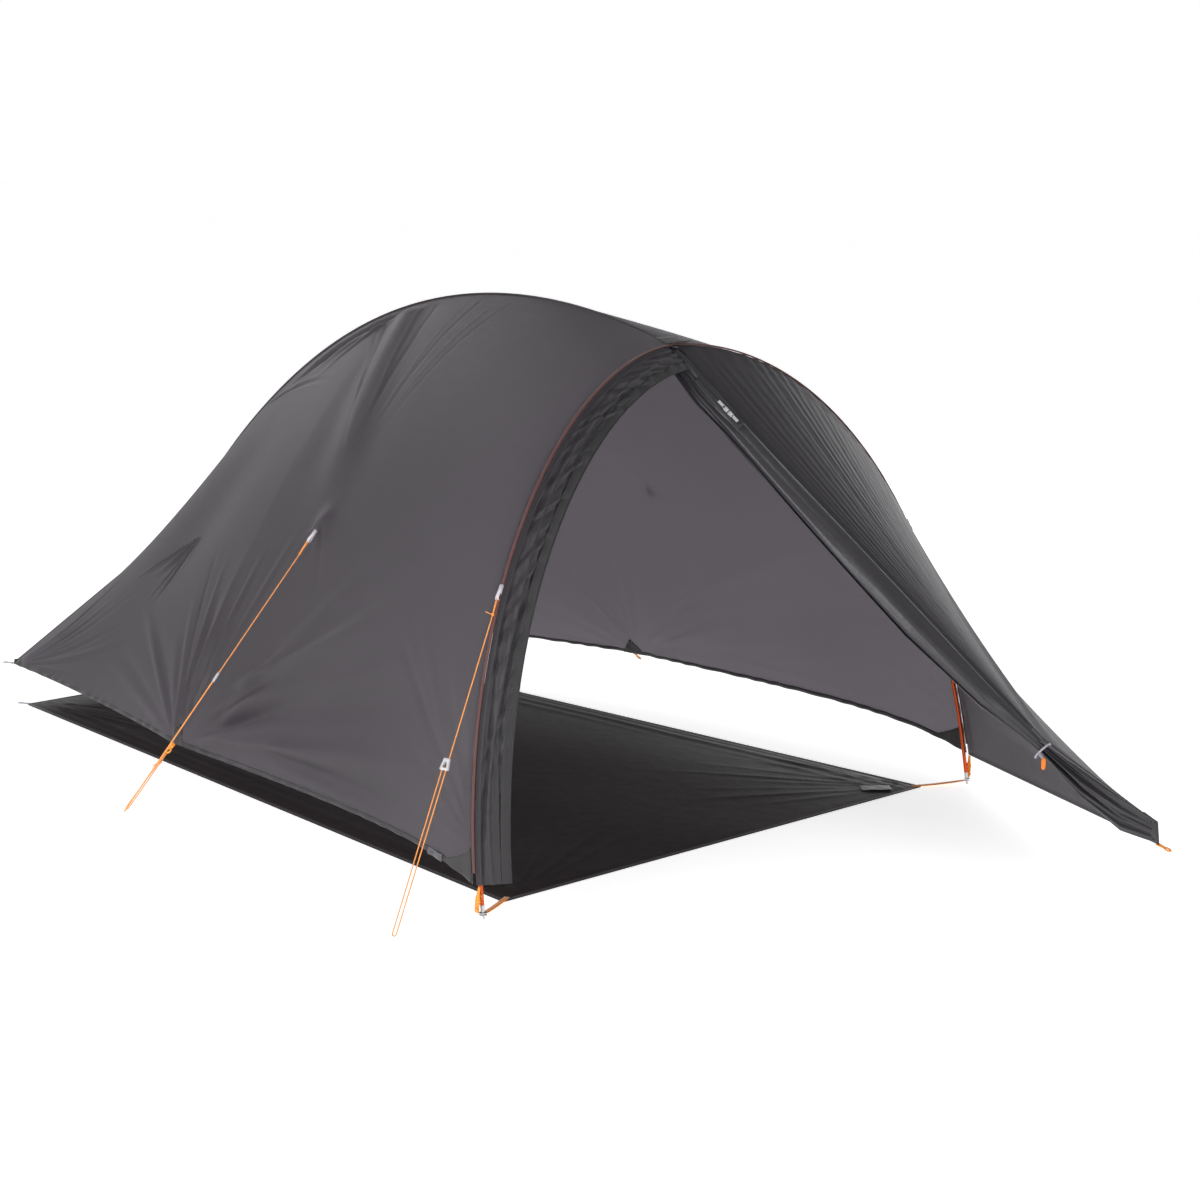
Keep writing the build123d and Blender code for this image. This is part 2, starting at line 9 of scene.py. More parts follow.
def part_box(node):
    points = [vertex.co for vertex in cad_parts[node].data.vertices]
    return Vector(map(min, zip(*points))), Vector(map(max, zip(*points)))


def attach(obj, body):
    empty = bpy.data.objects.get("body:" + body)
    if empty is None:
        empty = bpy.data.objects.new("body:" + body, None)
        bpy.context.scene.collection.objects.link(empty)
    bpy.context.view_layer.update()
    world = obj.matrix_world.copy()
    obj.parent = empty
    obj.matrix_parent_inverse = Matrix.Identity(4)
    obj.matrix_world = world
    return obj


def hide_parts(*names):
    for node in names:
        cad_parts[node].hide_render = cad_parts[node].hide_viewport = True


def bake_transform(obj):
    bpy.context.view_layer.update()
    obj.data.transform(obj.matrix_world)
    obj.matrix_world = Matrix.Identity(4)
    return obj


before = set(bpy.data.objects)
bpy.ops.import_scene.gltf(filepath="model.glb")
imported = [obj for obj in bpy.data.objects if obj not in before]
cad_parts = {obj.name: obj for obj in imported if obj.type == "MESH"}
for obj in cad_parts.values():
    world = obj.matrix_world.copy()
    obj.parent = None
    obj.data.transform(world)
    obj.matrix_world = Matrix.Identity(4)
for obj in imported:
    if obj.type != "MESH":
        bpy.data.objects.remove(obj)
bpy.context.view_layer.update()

bl_info = {
    "name": "Trekking Tent",
    "version": (1, 0, 0),
    "blender": (4, 5, 0),
    "location": "3D View > Sidebar > Tent",
    "description": "Builds the cloth, cords, straps and finishes of a pole tent",
    "category": "Object",
}

# The tent's own curves, in metres. Y is first measured from the line of the front pole feet.
MIDDLE_Y = 0.73833
ARCH_HALF_WIDTH = 0.778
ARCH_HEIGHT = 1.097
ARCH_LEAN = 0.245
CORNER_HEIGHT = 0.072
RIDGE_PEAK = (0.8, 1.178)
RIDGE_BEND = 0.30
RIDGE_TIGHTENING = 0.03
RIDGE_END_Y = 2.25
HEM_FRONT = (0.775, 0.02)
HEM_SIDE = (0.745, 1.165)
HEM_REAR = (0.515, 2.34)
HEM_RISE = 0.066
HEM_RISE_LENGTH = 0.2
HEM_REAR_DROP = 0.038
TIE_POINT = np.array([0.205, -0.645, 0.33])
TIP_TOP = np.array([0.298, -0.862, 0.186])
TIP_BOTTOM = np.array([0.3, -0.866, 0.14])
STRIP_WIDTH = 0.07
FOOT_TURN = math.asin(CORNER_HEIGHT / ARCH_HEIGHT)
SHEET_FRONT = (0.658, 0.062)
SHEET_REAR = (0.525, 2.245)
PATCH_CENTRE = (0.556, 0.112)
PATCH_SIZE = (0.072, 0.038)
PATCH_TURN = math.radians(-38)
MIRROR = np.array([-1.0, 1.0, 1.0])
UP = np.array([0.0, 0.0, 1.0])

# one half of the fly laid flat: along the ridge, and from the ridge down to the hem
BODY_LENGTH = 2.1
BODY_DROP = 1.25
FIXED_FLAT = (1.1, 1.5)
STRIP_LENGTH = 1.45

# small parts that are used in several places
TAPE_THICKNESS = 0.0026
KNOT_WIRE = 0.0011
TAB_THICKNESS = 0.0018
SHEET_STRAP_Z = 0.0042
FRONT_FOOT_X = 0.7655
TIE_RADIUS = 0.0205
TIE_WIRE = 0.0022
ROLL_TURNS = 3.0
ROLL_SQUASH = 0.82
RIDGE_GAP = 0.0016

# the camera stands to the left of the door, at a standing person's eye height
CAMERA_PLACE = (-3.733, -3.598 - MIDDLE_Y, 1.578)
CAMERA_YAW = 0.740
CAMERA_DIP = 0.195
CAMERA_TILT = 0.003
CAMERA_LENS = 72.57


def linear(code):
    """An sRGB hex colour as the linear colour that the shaders take."""
    values = [int(code[i:i + 2], 16) / 255 for i in (1, 3, 5)]
    return tuple(v / 12.92 if v <= 0.04045 else ((v + 0.055) / 1.055) ** 2.4 for v in values)


# ---------------------------------------------------------------- settings a user would change


def length(name, description, default):
    return bpy.props.FloatProperty(
        name=name, description=description, default=default, min=0.0, unit="LENGTH", precision=4)


def colour(name, description, code):
    return bpy.props.FloatVectorProperty(
        name=name, description=description, default=linear(code), size=3, subtype="COLOR", min=0, max=1)


class TentSizes(bpy.types.PropertyGroup):
    """Sizes of the cloth, cords and straps."""
    cloth: length("Cloth", "Thickness of the fly as drawn", 0.0012)
    hem_tape: length("Hem tape", "Width of the tape round the hem", 0.010)
    piping: length("Piping", "Half width of the piping along the front arch", 0.0042)
    cord: length("Guyline", "Diameter of the guylines", 0.0025)
    webbing: length("Webbing", "Thickness of the straps", 0.0016)
    strap: length("Strap width", "Width of the straps at the pole feet", 0.013)
    fold_depth: bpy.props.FloatProperty(
        name="Fold depth", description="How deep the folds of the fly are", default=1.0,
        min=0.0, max=2.0, subtype="FACTOR")


class TentColours(bpy.types.PropertyGroup):
    """Colours of the tent's materials."""
    fly: colour("Fly", "Coated cloth of the fly", "#4b474c")
    fly_lit: colour("Fly against the light", "Light that comes through the fly", "#c8c4ca")
    # the door colour is the fly's cloth painted darker: painted shade for the slack, creased door end,
    # the strip and the roll
    door: colour("Door", "Uncoated side of the door end", "#38363a")
    trim: colour("Trim", "Hem tape, patches and zip tape", "#2b292b")
    ground: colour("Groundsheet", "Coated cloth of the groundsheet", "#28211f")
    webbing: colour("Straps", "Webbing of the straps and peg loops", "#ff9a26")
    cord: colour("Cords", "Guylines", "#ffa04c")
    piping: colour("Piping", "Piping on the front arch", "#5c3431")
    pole: colour("Poles", "Anodised pole sections", "#d04f12")


# ---------------------------------------------------------------- materials


def node(tree, kind, inputs=None, **settings):
    """Adds a node with its settings; each input is a value or another node's output."""
    made = tree.nodes.new(kind)
    for name, value in settings.items():
        setattr(made, name, value)
    for socket, value in (inputs or {}).items():
        if isinstance(value, bpy.types.NodeSocket):
            tree.links.new(value, made.inputs[socket])
        else:
            made.inputs[socket].default_value = value
    return made


def empty_material(name):
    material = bpy.data.materials.new(name)
    material.use_nodes = True
    material.node_tree.nodes.clear()
    return material, material.node_tree


def bands(spacing):
    """The Wave Texture scale that puts one band every spacing metres."""
    return 2 * math.pi / (20 * spacing)


def shaded(rgb, share):
    return (*[min(1.0, c * share) for c in rgb], 1.0)


def woven(name, rgb, thread, rough, see_through=0.0, dark=0.9, crinkle=0.0012, coordinate="UV",
          sheen=0.15, glow_rgb=(0.5, 0.5, 0.5)):
    """Cloth, webbing or tape: crossing threads, faint crinkles and an uneven dye."""
    material, tree = empty_material(name)
    place = node(tree, "ShaderNodeTexCoord").outputs[coordinate]
    threads = {"Vector": place, "Scale": bands(thread)}
    warp = node(tree, "ShaderNodeTexWave", threads, bands_direction="X")
    weft = node(tree, "ShaderNodeTexWave", threads, bands_direction="Y")
    cross = node(tree, "ShaderNodeMath", {0: warp.outputs["Fac"], 1: weft.outputs["Fac"]},
                 operation="MAXIMUM")
    line = node(tree, "ShaderNodeMath", {0: cross.outputs[0], 1: 6.0}, operation="POWER")
    crinkles = node(tree, "ShaderNodeTexNoise", {
        "Vector": place, "Scale": 26.0, "Detail": 5.0, "Roughness": 0.55})
    dye = node(tree, "ShaderNodeTexNoise", {"Vector": place, "Scale": 2.3, "Detail": 3.0})
    tone = node(tree, "ShaderNodeMix", {
        "Factor": dye.outputs["Fac"], 6: shaded(rgb, dark), 7: shaded(rgb, 2 - dark)}, data_type="RGBA")
    lined = node(tree, "ShaderNodeMix", {
        "Factor": line.outputs[0], 6: tone.outputs[2], 7: shaded(rgb, 0.88)}, data_type="RGBA")
    wrinkled = node(tree, "ShaderNodeBump", {
        "Height": crinkles.outputs["Fac"], "Distance": crinkle, "Strength": 0.6})
    weave = node(tree, "ShaderNodeBump", {
        "Height": line.outputs[0], "Distance": 0.0001, "Strength": 0.5, "Normal": wrinkled.outputs[0]})
    gloss = node(tree, "ShaderNodeMapRange", {
        "Value": crinkles.outputs["Fac"], "To Min": rough - 0.05, "To Max": rough + 0.07})
    cloth = node(tree, "ShaderNodeBsdfPrincipled", {
        "Base Color": lined.outputs[2], "Roughness": gloss.outputs[0], "IOR": 1.5,
        "Sheen Weight": sheen, "Sheen Roughness": 0.4, "Normal": weave.outputs[0]})
    surface = cloth
    if see_through:
        lit = node(tree, "ShaderNodeMix", {
            "Factor": dye.outputs["Fac"], 6: shaded(glow_rgb, 0.95), 7: shaded(glow_rgb, 1.05)},
            data_type="RGBA")
        glow = node(tree, "ShaderNodeBsdfTranslucent", {
            "Color": lit.outputs[2], "Normal": weave.outputs[0]})
        surface = node(tree, "ShaderNodeMixShader", {
            0: see_through, 1: cloth.outputs[0], 2: glow.outputs[0]})
    node(tree, "ShaderNodeOutputMaterial", {"Surface": surface.outputs[0]})
    return material


def moulded(name, rgb, rough, grain, ior=1.5, metal=0.0, clear=0.0, coat=0.0):
    """Metal or plastic: an even colour with grain-sized dulling and fine scratches."""
    material, tree = empty_material(name)
    place = node(tree, "ShaderNodeTexCoord").outputs["Object"]
    grains = node(tree, "ShaderNodeTexNoise", {"Vector": place, "Scale": 1 / grain, "Detail": 3.0})
    wear = node(tree, "ShaderNodeTexNoise", {"Vector": place, "Scale": 60.0, "Detail": 4.0})
    tone = node(tree, "ShaderNodeMix", {
        "Factor": wear.outputs["Fac"], 6: shaded(rgb, 0.86), 7: shaded(rgb, 1.1)}, data_type="RGBA")
    gloss = node(tree, "ShaderNodeMapRange", {
        "Value": grains.outputs["Fac"], "To Min": rough - 0.06, "To Max": rough + 0.08})
    bump = node(tree, "ShaderNodeBump", {
        "Height": grains.outputs["Fac"], "Distance": 0.00008, "Strength": 0.3})
    solid = node(tree, "ShaderNodeBsdfPrincipled", {
        "Base Color": tone.outputs[2], "Roughness": gloss.outputs[0], "Metallic": metal, "IOR": ior,
        "Transmission Weight": clear, "Coat Weight": coat, "Coat Roughness": 0.2,
        "Normal": bump.outputs[0]})
    node(tree, "ShaderNodeOutputMaterial", {"Surface": solid.outputs[0]})
    return material


def make_materials(colours):
    """Every finish, by the name that the pieces ask for."""
    ripstop = 0.008
    return {
        # Silicone-coated ripstop nylon, woven and then calendered: a smooth satin face that lets some
        # light through, with its 5 mm ripstop squares drawn at 8 mm so that they show.
        "fly": woven("coated_ripstop_nylon", colours.fly, ripstop, 0.45, see_through=0.56, crinkle=0.0012,
                     sheen=0.05, glow_rgb=colours.fly_lit),
        # The same cloth at the door end, slack and creased, with livelier crinkles; its darker colour is
        # painted shade for those creases.
        "door": woven("creased_ripstop_nylon_painted_shade", colours.door, ripstop, 0.5, see_through=0.3, crinkle=0.003,
                      sheen=0.05, glow_rgb=colours.fly_lit),
        # The same cloth in many layers: no light comes through, and the rolled face has satin highlights.
        # It takes the door's colour, the fly's cloth painted darker as painted shade.
        "rolled": woven("rolled_ripstop_nylon_painted_shade", colours.door, ripstop, 0.34, crinkle=0.0022, sheen=0.05),
        # Woven polyester tape, folded over the hem and sewn: matt and nearly black.
        "trim": woven("woven_polyester_tape", colours.trim, 0.003, 0.6, crinkle=0.0006),
        # Polyurethane-coated polyester: dark, dense and faintly glossy where it lies flat.
        "ground": woven("coated_polyester_groundsheet", colours.ground, ripstop, 0.58, crinkle=0.0016,
                        sheen=0.0),
        # Woven polyester webbing: bright dye and coarse ribs across its width.
        "webbing": woven("woven_polyester_webbing", colours.webbing, 0.0028, 0.62, crinkle=0.0004,
                         sheen=0.3),
        # Grey webbing of the guy-out tabs, pale beside the fly.
        "pale_webbing": woven("woven_grey_webbing", linear("#cfc9d2"), 0.0028, 0.6, crinkle=0.0004),
        # Braided polyester cord with a tight sheath.
        "cord": woven("braided_polyester_cord", colours.cord, 0.003, 0.6, coordinate="Object",
                      crinkle=0.0003),
        # Grosgrain piping, dull red-brown and matt.
        "piping": woven("woven_grosgrain_piping", colours.piping, 0.003, 0.62, crinkle=0.0005),
        # Satin tape of the hanging tag.
        "tag": woven("woven_satin_tag", linear("#4b4a4d"), 0.002, 0.4, crinkle=0.0006),
        # Heat-bonded grey patch on the groundsheet.
        "patch": woven("bonded_polyester_patch", linear("#8f8c8c"), 0.004, 0.5, crinkle=0.0012),
        # Elastic cord in a knitted sheath.
        "elastic": woven("knitted_elastic_cord", linear("#a5a2ab"), 0.002, 0.6, coordinate="Object"),
        # Nylon coil zip: fine ridges across the chain, darker than the tape.
        "coil": woven("nylon_coil_zip", linear("#1d1c1e"), 0.003, 0.38, crinkle=0.0002),
        # Drawn aluminium tube, anodised orange-red: coloured metal with a satin skin.
        "pole": moulded("anodised_aluminium_tube", colours.pole, 0.3, 0.0015, metal=0.75, coat=0.2),
        # Turned aluminium, bare: bright with a fine grain.
        "bare": moulded("turned_bare_aluminium", linear("#c9cbd0"), 0.28, 0.0008, metal=1.0),
        # Injection-moulded nylon of the pole hub.
        "hub": moulded("moulded_nylon_hub", linear("#2e2d30"), 0.45, 0.0012),
        # Clear grey acetal of the cord tensioners, pale where light passes.
        "tensioner": moulded("moulded_clear_acetal", linear("#d9d9de"), 0.3, 0.001, ior=1.48, clear=0.25),
        # Die-cast zinc zip sliders, nickel plated.
        "zip_metal": moulded("plated_zinc_casting", linear("#e6e7ea"), 0.32, 0.0008, metal=0.7),
        # Moulded orange toggle.
        "toggle": moulded("moulded_orange_acetal", linear("#ff7d14"), 0.4, 0.001),
    }


MATERIALS = {}


# ---------------------------------------------------------------- curves of the tent


def arch(v):
    """The right side of the front arch: v is 0 at the top and 1 at the corner."""
    turn = math.pi / 2 + np.asarray(v, float) * (FOOT_TURN - math.pi / 2)
    return np.stack([ARCH_HALF_WIDTH * np.cos(turn), ARCH_LEAN * turn / (math.pi / 2),
                     ARCH_HEIGHT * np.sin(turn)], -1)


def ridge(y):
    beyond = y - RIDGE_PEAK[0]
    height = RIDGE_PEAK[1] - RIDGE_BEND * beyond**2 - RIDGE_TIGHTENING * beyond**3
    return np.stack([0 * y, y, height], -1)


def hem(u):
    """The right lower edge of the fly: u is 0 at the front corner and 1 at the back."""
    y = HEM_FRONT[1] + np.asarray(u, float) * (HEM_REAR[1] - HEM_FRONT[1])
    rise = HEM_RISE * (1 - np.exp(-(y - HEM_FRONT[1]) / HEM_RISE_LENGTH))
    front = (y - HEM_FRONT[1]) / (HEM_SIDE[1] - HEM_FRONT[1])
    rear = np.maximum(0, (y - HEM_SIDE[1]) / (HEM_REAR[1] - HEM_SIDE[1]))
    x = np.where(front < 1, HEM_FRONT[0] + front * (HEM_SIDE[0] - HEM_FRONT[0]),
                 HEM_SIDE[0] + rear * (HEM_REAR[0] - HEM_SIDE[0]))
    return np.stack([x, y, CORNER_HEIGHT + rise - HEM_REAR_DROP * rear**2], -1)


def body(u, v):
    """The right half of the fly: u runs back, v from the ridge down to the hem."""
    u, v = np.broadcast_arrays(np.asarray(u, float), np.asarray(v, float))
    top = ridge(ARCH_LEAN + u * (RIDGE_END_Y - ARCH_LEAN))
    straight = top + (hem(u) - top) * v[..., None]
    first_top = np.array([0, ARCH_LEAN, ARCH_HEIGHT])
    first = first_top + (hem(0.0) - first_top) * v[..., None]
    return straight + (arch(v) - first) * (np.maximum(1 - u, 0) ** 1.5)[..., None]


def tie_edge(v):
    """Where the cloth that leaves the arch at v ends: gathered at the tie, then down to the tip."""
    v = np.asarray(v, float)[..., None]
    gathered = 0.55
    turn = 0.85
    above = TIE_POINT + (arch(0.0) - TIE_POINT) * 0.08 * (1 - v / gathered)
    share = (v - gathered) / (1 - gathered)
    beyond = TIE_POINT + (TIP_TOP - TIE_POINT) * (share / turn)
    below = TIP_TOP + (TIP_BOTTOM - TIP_TOP) * ((share - turn) / (1 - turn))
    return np.where(v < gathered, above, np.where(share < turn, beyond, below))


def fixed(t, v):
    """The fixed panel on the right of the door: t runs out from the arch, v down it."""
    t, v = np.broadcast_arrays(np.asarray(t, float), np.asarray(v, float))
    return arch(v) * (1 - t[..., None]) + tie_edge(v) * t[..., None]


def strip(w, v):
    """The gathered strip beside the left of the door: w metres in from the arch, v down it."""
    w, v = np.broadcast_arrays(np.asarray(w, float), np.asarray(v, float))
    edge = arch(v) * MIRROR
    way = tie_edge(v) - edge
    return edge + way / np.linalg.norm(way, axis=-1, keepdims=True) * w[..., None]


def to_frame(points):
    """From the line of the pole feet to the frame's own origin."""
    return np.asarray(points, float) - np.array([0, MIDDLE_Y, 0])


def column(first, last, count):
    """Even steps down a column, so that they meet a row of others as a grid."""
    return np.linspace(first, last, count)[:, None]


def row(first, last, count):
    return np.linspace(first, last, count)[None, :]


def pairs(a, b):
    """The two flat coordinates of every point in a grid."""
    return np.stack(np.broadcast_arrays(a, b), -1)


def node_corners(name):
    """The low and the high corner of a CAD node's box."""
    low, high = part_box(name)
    return np.array(low), np.array(high)


def unit(vectors):
    vectors = np.asarray(vectors, float)
    return vectors / np.maximum(np.linalg.norm(vectors, axis=-1, keepdims=True), 1e-12)


def lifted(place, a, b, height, step=0.002):
    """Points of a surface, moved along its normal by height."""
    a, b = np.broadcast_arrays(np.asarray(a, float), np.asarray(b, float))
    across = place(a + step, b) - place(a - step, b)
    down = place(a, b + step) - place(a, b - step)
    normal = unit(np.cross(across, down))
    return place(a, b) + normal * np.asarray(height)[..., None]


# ---------------------------------------------------------------- folds


def smooth(x):
    x = np.clip(x, 0, 1)
    return x * x * (3 - 2 * x)


def crease(s, t, start, end, width, depth, root=0.25, fade=0.6):
    """One fold from start to end of the flat cloth: it opens from its root and dies away."""
    run = np.subtract(end, start)
    reach = float(np.hypot(*run))
    along = ((s - start[0]) * run[0] + (t - start[1]) * run[1]) / reach**2
    away = ((s - start[0]) * run[1] - (t - start[1]) * run[0]) / reach
    x = away / (width * (root + (1 - root) * np.clip(along, 0, 1)))
    strength = smooth(along / 0.12) * smooth((1 - along) / fade)
    return depth * strength * (1 - 1.2 * x * x) * np.exp(-x * x)


def fan(s, t, root, first, last, count, reach, width, depth, seed):
    """Folds that spread from one point, between two directions in degrees."""
    draws = np.random.default_rng(seed)
    total = np.zeros(np.broadcast(s, t).shape)
    for k in range(count):
        share = (k + draws.uniform(-0.3, 0.3)) / max(count - 1, 1)
        way = math.radians(first + (last - first) * share)
        far = reach * draws.uniform(0.5, 1.0)
        end = (root[0] + far * math.cos(way), root[1] + far * math.sin(way))
        sign = -1 if k % 2 else 1
        total += crease(s, t, root, end, width * draws.uniform(0.6, 1.3),
                        sign * depth * draws.uniform(0.45, 1.0))
    return total


SIDE_TAB = (1.03, 1.25)
GUY_OUT = (0.74, 0.72)


def body_folds(u, v, near):
    """Height of the fly's folds; directions are measured from the rear towards the hem."""
    s, t = u * BODY_LENGTH, v * BODY_DROP
    rise = fan(s, t, SIDE_TAB, -140, -168, 6, 0.95, 0.032, 0.008, 5 + near)
    rise += fan(s, t, SIDE_TAB, -62, -112, 9, 0.66, 0.022, 0.008, 11 + near)
    rise += fan(s, t, SIDE_TAB, -12, -50, 5, 0.7, 0.03, 0.006, 13 + near)
    # broad slack bands between the side tab and the front corner
    rise += crease(s, t, (0.98, 1.2), (0.08, 0.98), 0.07, -0.019, root=0.3, fade=0.5)
    rise += crease(s, t, (0.95, 1.22), (0.05, 1.12), 0.045, 0.012, root=0.3, fade=0.5)
    rise += crease(s, t, (0.75, 1.2), (0.02, 1.22), 0.035, -0.010, fade=0.5)
    rise += crease(s, t, (0.9, 1.1), (0.12, 0.82), 0.06, 0.014, fade=0.6)
    # the pull of the guy-out, up to the ridge and down to the side tab
    rise += crease(s, t, (0.98, -0.02), GUY_OUT, 0.10, 0.012, root=0.6, fade=0.3)
    for k, (top, wide, deep) in enumerate((
            (0.52, 0.008, -0.001), (0.58, 0.007, 0.001), (0.66, 0.009, -0.0014), (0.72, 0.008, 0.0012),
            (0.86, 0.011, -0.0018), (0.93, 0.009, 0.0016), (1.08, 0.014, -0.003), (1.14, 0.010, 0.002))):
        low = (GUY_OUT[0] + 0.03 * (top - 0.8), GUY_OUT[1] - 0.08 - 0.05 * (k % 3))
        rise += crease(s, t, (top, -0.01), low, wide, deep, root=0.6, fade=0.5)
    rise += fan(s, t, GUY_OUT, 20, 160, 5, 0.2, 0.016, 0.0025, 17 + near)
    dimple = np.hypot(s - GUY_OUT[0], t - GUY_OUT[1])
    rise += 0.013 * np.exp(-(dimple / 0.032) ** 2)
    # strained cloth under the ridge, where the pole curves down to the back
    rise += crease(s, t, (0.94, 0.03), (1.5, 0.10), 0.028, -0.02, root=0.4, fade=0.5)
    rise += crease(s, t, (1.0, 0.01), (1.45, 0.15), 0.02, -0.006, root=0.4, fade=0.6)
    rise += crease(s, t, (0.96, 0.0), (1.3, 0.2), 0.016, 0.004, root=0.4, fade=0.6)
    rise += crease(s, t, (1.62, 0.06), (1.1, 0.26), 0.014, -0.004, root=0.4, fade=0.6)
    # gathers at the kink near the back and at the rear corner
    rise += fan(s, t, (1.5, 0.64), 25, 105, 7, 0.36, 0.018, 0.006, 37 + near)
    rise += fan(s, t, (2.08, 1.24), -175, -110, 9, 0.8, 0.022, 0.004, 41 + near)
    # short puckers all along the front arch's seam
    rise += fan(s, t, (-0.02, 1.2), -85, -5, 10, 0.5, 0.022, 0.004, 43 + near)
    ripple = np.sin(t * 150 + 3 * np.sin(t * 17)) * np.exp(-s / 0.02) * 0.0008
    hem_ripple = np.sin(s * 95 + 2 * np.sin(s * 21)) * np.exp(-(BODY_DROP - t) / 0.03) * 0.0015
    # the panel pulls in a little between its edges
    sag = -0.014 * np.sin(math.pi * np.clip(u, 0, 1)) * np.sin(math.pi * np.clip(v, 0, 1))
    # the hollow where the straight back begins
    sag = sag - 0.028 * np.exp(-((s - 1.5) / 0.2) ** 2 - ((t - 0.6) / 0.3) ** 2)
    held = smooth(u / 0.015) * smooth((1 - u) / 0.02) * smooth((v - 0.012) / 0.03)
    # the far half hangs smoother than the half towards the wind
    depth = bpy.context.scene.tent_sizes.fold_depth * (0.35 if near else 1.0)
    return (rise * depth * held * smooth((1.02 - v) / 0.04) + sag + ripple + hem_ripple)


def fixed_folds(t, v):
    """Tension lines that run from the tie towards the arch, and the slack below them."""
    total = np.zeros(np.broadcast(t, v).shape)
    draws = np.random.default_rng(51)
    for k in range(38):
        middle = 0.02 + 0.5 * (k + draws.uniform(0, 0.8)) / 38
        wide = 0.004 + 0.004 * draws.random()
        reach = draws.uniform(0.5, 1.0)
        line = np.exp(-((v - middle) / wide) ** 2)
        deep = 0.0011 * draws.uniform(0.3, 1)
        total += (-1) ** k * deep * line * smooth(t / 0.1) * smooth((1.02 - t) / reach)
    for middle, wide, deep in (
            (0.6, 0.02, 0.006), (0.68, 0.03, -0.008), (0.78, 0.035, 0.007), (0.9, 0.03, -0.006)):
        total += deep * np.exp(-((v - middle) / wide) ** 2) * np.sin(math.pi * np.clip(t, 0, 1))
    seam = 0.0012 * (np.exp(-((t - 0.02) / 0.004) ** 2) + np.exp(-((t - 0.032) / 0.004) ** 2))
    puckers = np.sin(v * 190 + 2 * np.sin(v * 31)) * np.exp(-t / 0.03) * 0.0016
    sag = -0.018 * np.sin(math.pi * np.clip(t, 0, 1)) * np.sin(math.pi * np.clip(v, 0, 1))
    return total + seam + puckers * smooth(t / 0.01) + sag


def strip_folds(w, v):
    """Gathers of the narrow strip: slanting pleats at the top and crumples lower down."""
    share = np.clip(w / STRIP_WIDTH, 0, 1)
    draws = np.random.default_rng(61)
    total = np.zeros(np.broadcast(w, v).shape)
    for k in range(46):
        middle = 0.05 + 0.95 * (k + draws.uniform(-0.4, 0.4)) / 46
        slant = -draws.uniform(0.07, 0.17) * (1.15 - 0.5 * middle)
        wide = draws.uniform(0.006, 0.013)
        x = (v - middle - slant * (share - 0.5)) / wide
        total += (-1) ** k * draws.uniform(0.002, 0.0055) * (1.1 - 0.75 * middle) * np.exp(-x * x)
    for middle, wide, deep in ((0.3, 0.05, 0.004), (0.52, 0.06, -0.005), (0.75, 0.05, 0.004)):
        total += deep * np.exp(-((share - middle - 0.08 * np.sin(v * 14 + middle * 9)) / wide) ** 2)
    inner = smooth((share - 0.2) / 0.08) * smooth((0.97 - share) / 0.1)
    seam = -0.0025 * np.exp(-((share - 0.2) / 0.025) ** 2)
    return total * inner + seam


# ---------------------------------------------------------------- mesh parts


def grid_part(points, flat, wrapped=False):
    """A sheet through a grid of points, with its place on the flat cloth as its UV."""
    rows, columns = points.shape[:2]
    index = np.arange(rows * columns).reshape(rows, columns)
    if wrapped:
        index = np.concatenate([index, index[:, :1]], 1)
    faces = np.stack([index[:-1, :-1], index[1:, :-1], index[1:, 1:], index[:-1, 1:]], -1).reshape(-1, 4)
    return points.reshape(-1, 3), faces.tolist(), np.asarray(flat, float).reshape(-1, 2)


def running(points):
    """The distance reached at each point of a line."""
    return np.concatenate([[0], np.cumsum(np.linalg.norm(np.diff(points, axis=0), axis=1))])


def swept(points, across, outline):
    """A closed solid with an outline carried along points; outline gives (sideways, outwards) pairs."""
    points = np.asarray(points, float)
    along = unit(np.gradient(points, axis=0))
    across = np.broadcast_to(np.asarray(across, float), points.shape)
    side = unit(across - along * (across * along).sum(1, keepdims=True))
    out = np.cross(side, along)
    outline = np.broadcast_to(outline, (len(points), *np.shape(outline)[-2:]))
    ring = points[:, None] + side[:, None] * outline[..., :1] + out[:, None] * outline[..., 1:]
    place = np.broadcast_to(running(points)[:, None], ring.shape[:2])
    flat = np.stack([place, outline[..., 0]], -1)
    verts, faces, uv = grid_part(ring, flat, wrapped=True)
    count = ring.shape[1]
    last = len(verts) - count
    faces.append(list(range(count)))
    faces.append([last + k for k in reversed(range(count))])
    return verts, faces, uv


def ribbon(points, across, width, thickness):
    """A flat strap with eased edges."""
    width = np.broadcast_to(np.asarray(width, float), (len(points),))
    half, edge = width / 2, thickness / 2
    corners = [(-half, -0.4 * edge), (-half + edge, -edge + 0 * half), (half - edge, -edge + 0 * half),
               (half, -0.4 * edge), (half, 0.4 * edge), (half - edge, edge + 0 * half),
               (-half + edge, edge + 0 * half), (-half, 0.4 * edge)]
    outline = np.stack([np.stack([np.broadcast_to(a, half.shape), np.broadcast_to(b, half.shape)], -1)
                        for a, b in corners], 1)
    return swept(points, across, outline)


def tube(points, radius, sides=10, flatten=1.0, across=None):
    """A round or oval tube along points."""
    points = np.asarray(points, float)
    if across is None:
        run = unit(points[-1] - points[0]) if np.linalg.norm(points[-1] - points[0]) > 1e-9 else UP
        across = np.cross(run, UP if abs(run[2]) < 0.9 else np.array([1.0, 0, 0]))
    turn = np.arange(sides) * 2 * math.pi / sides
    outline = np.stack([np.cos(turn) * radius, np.sin(turn) * radius * flatten], -1)
    return swept(points, across, outline)


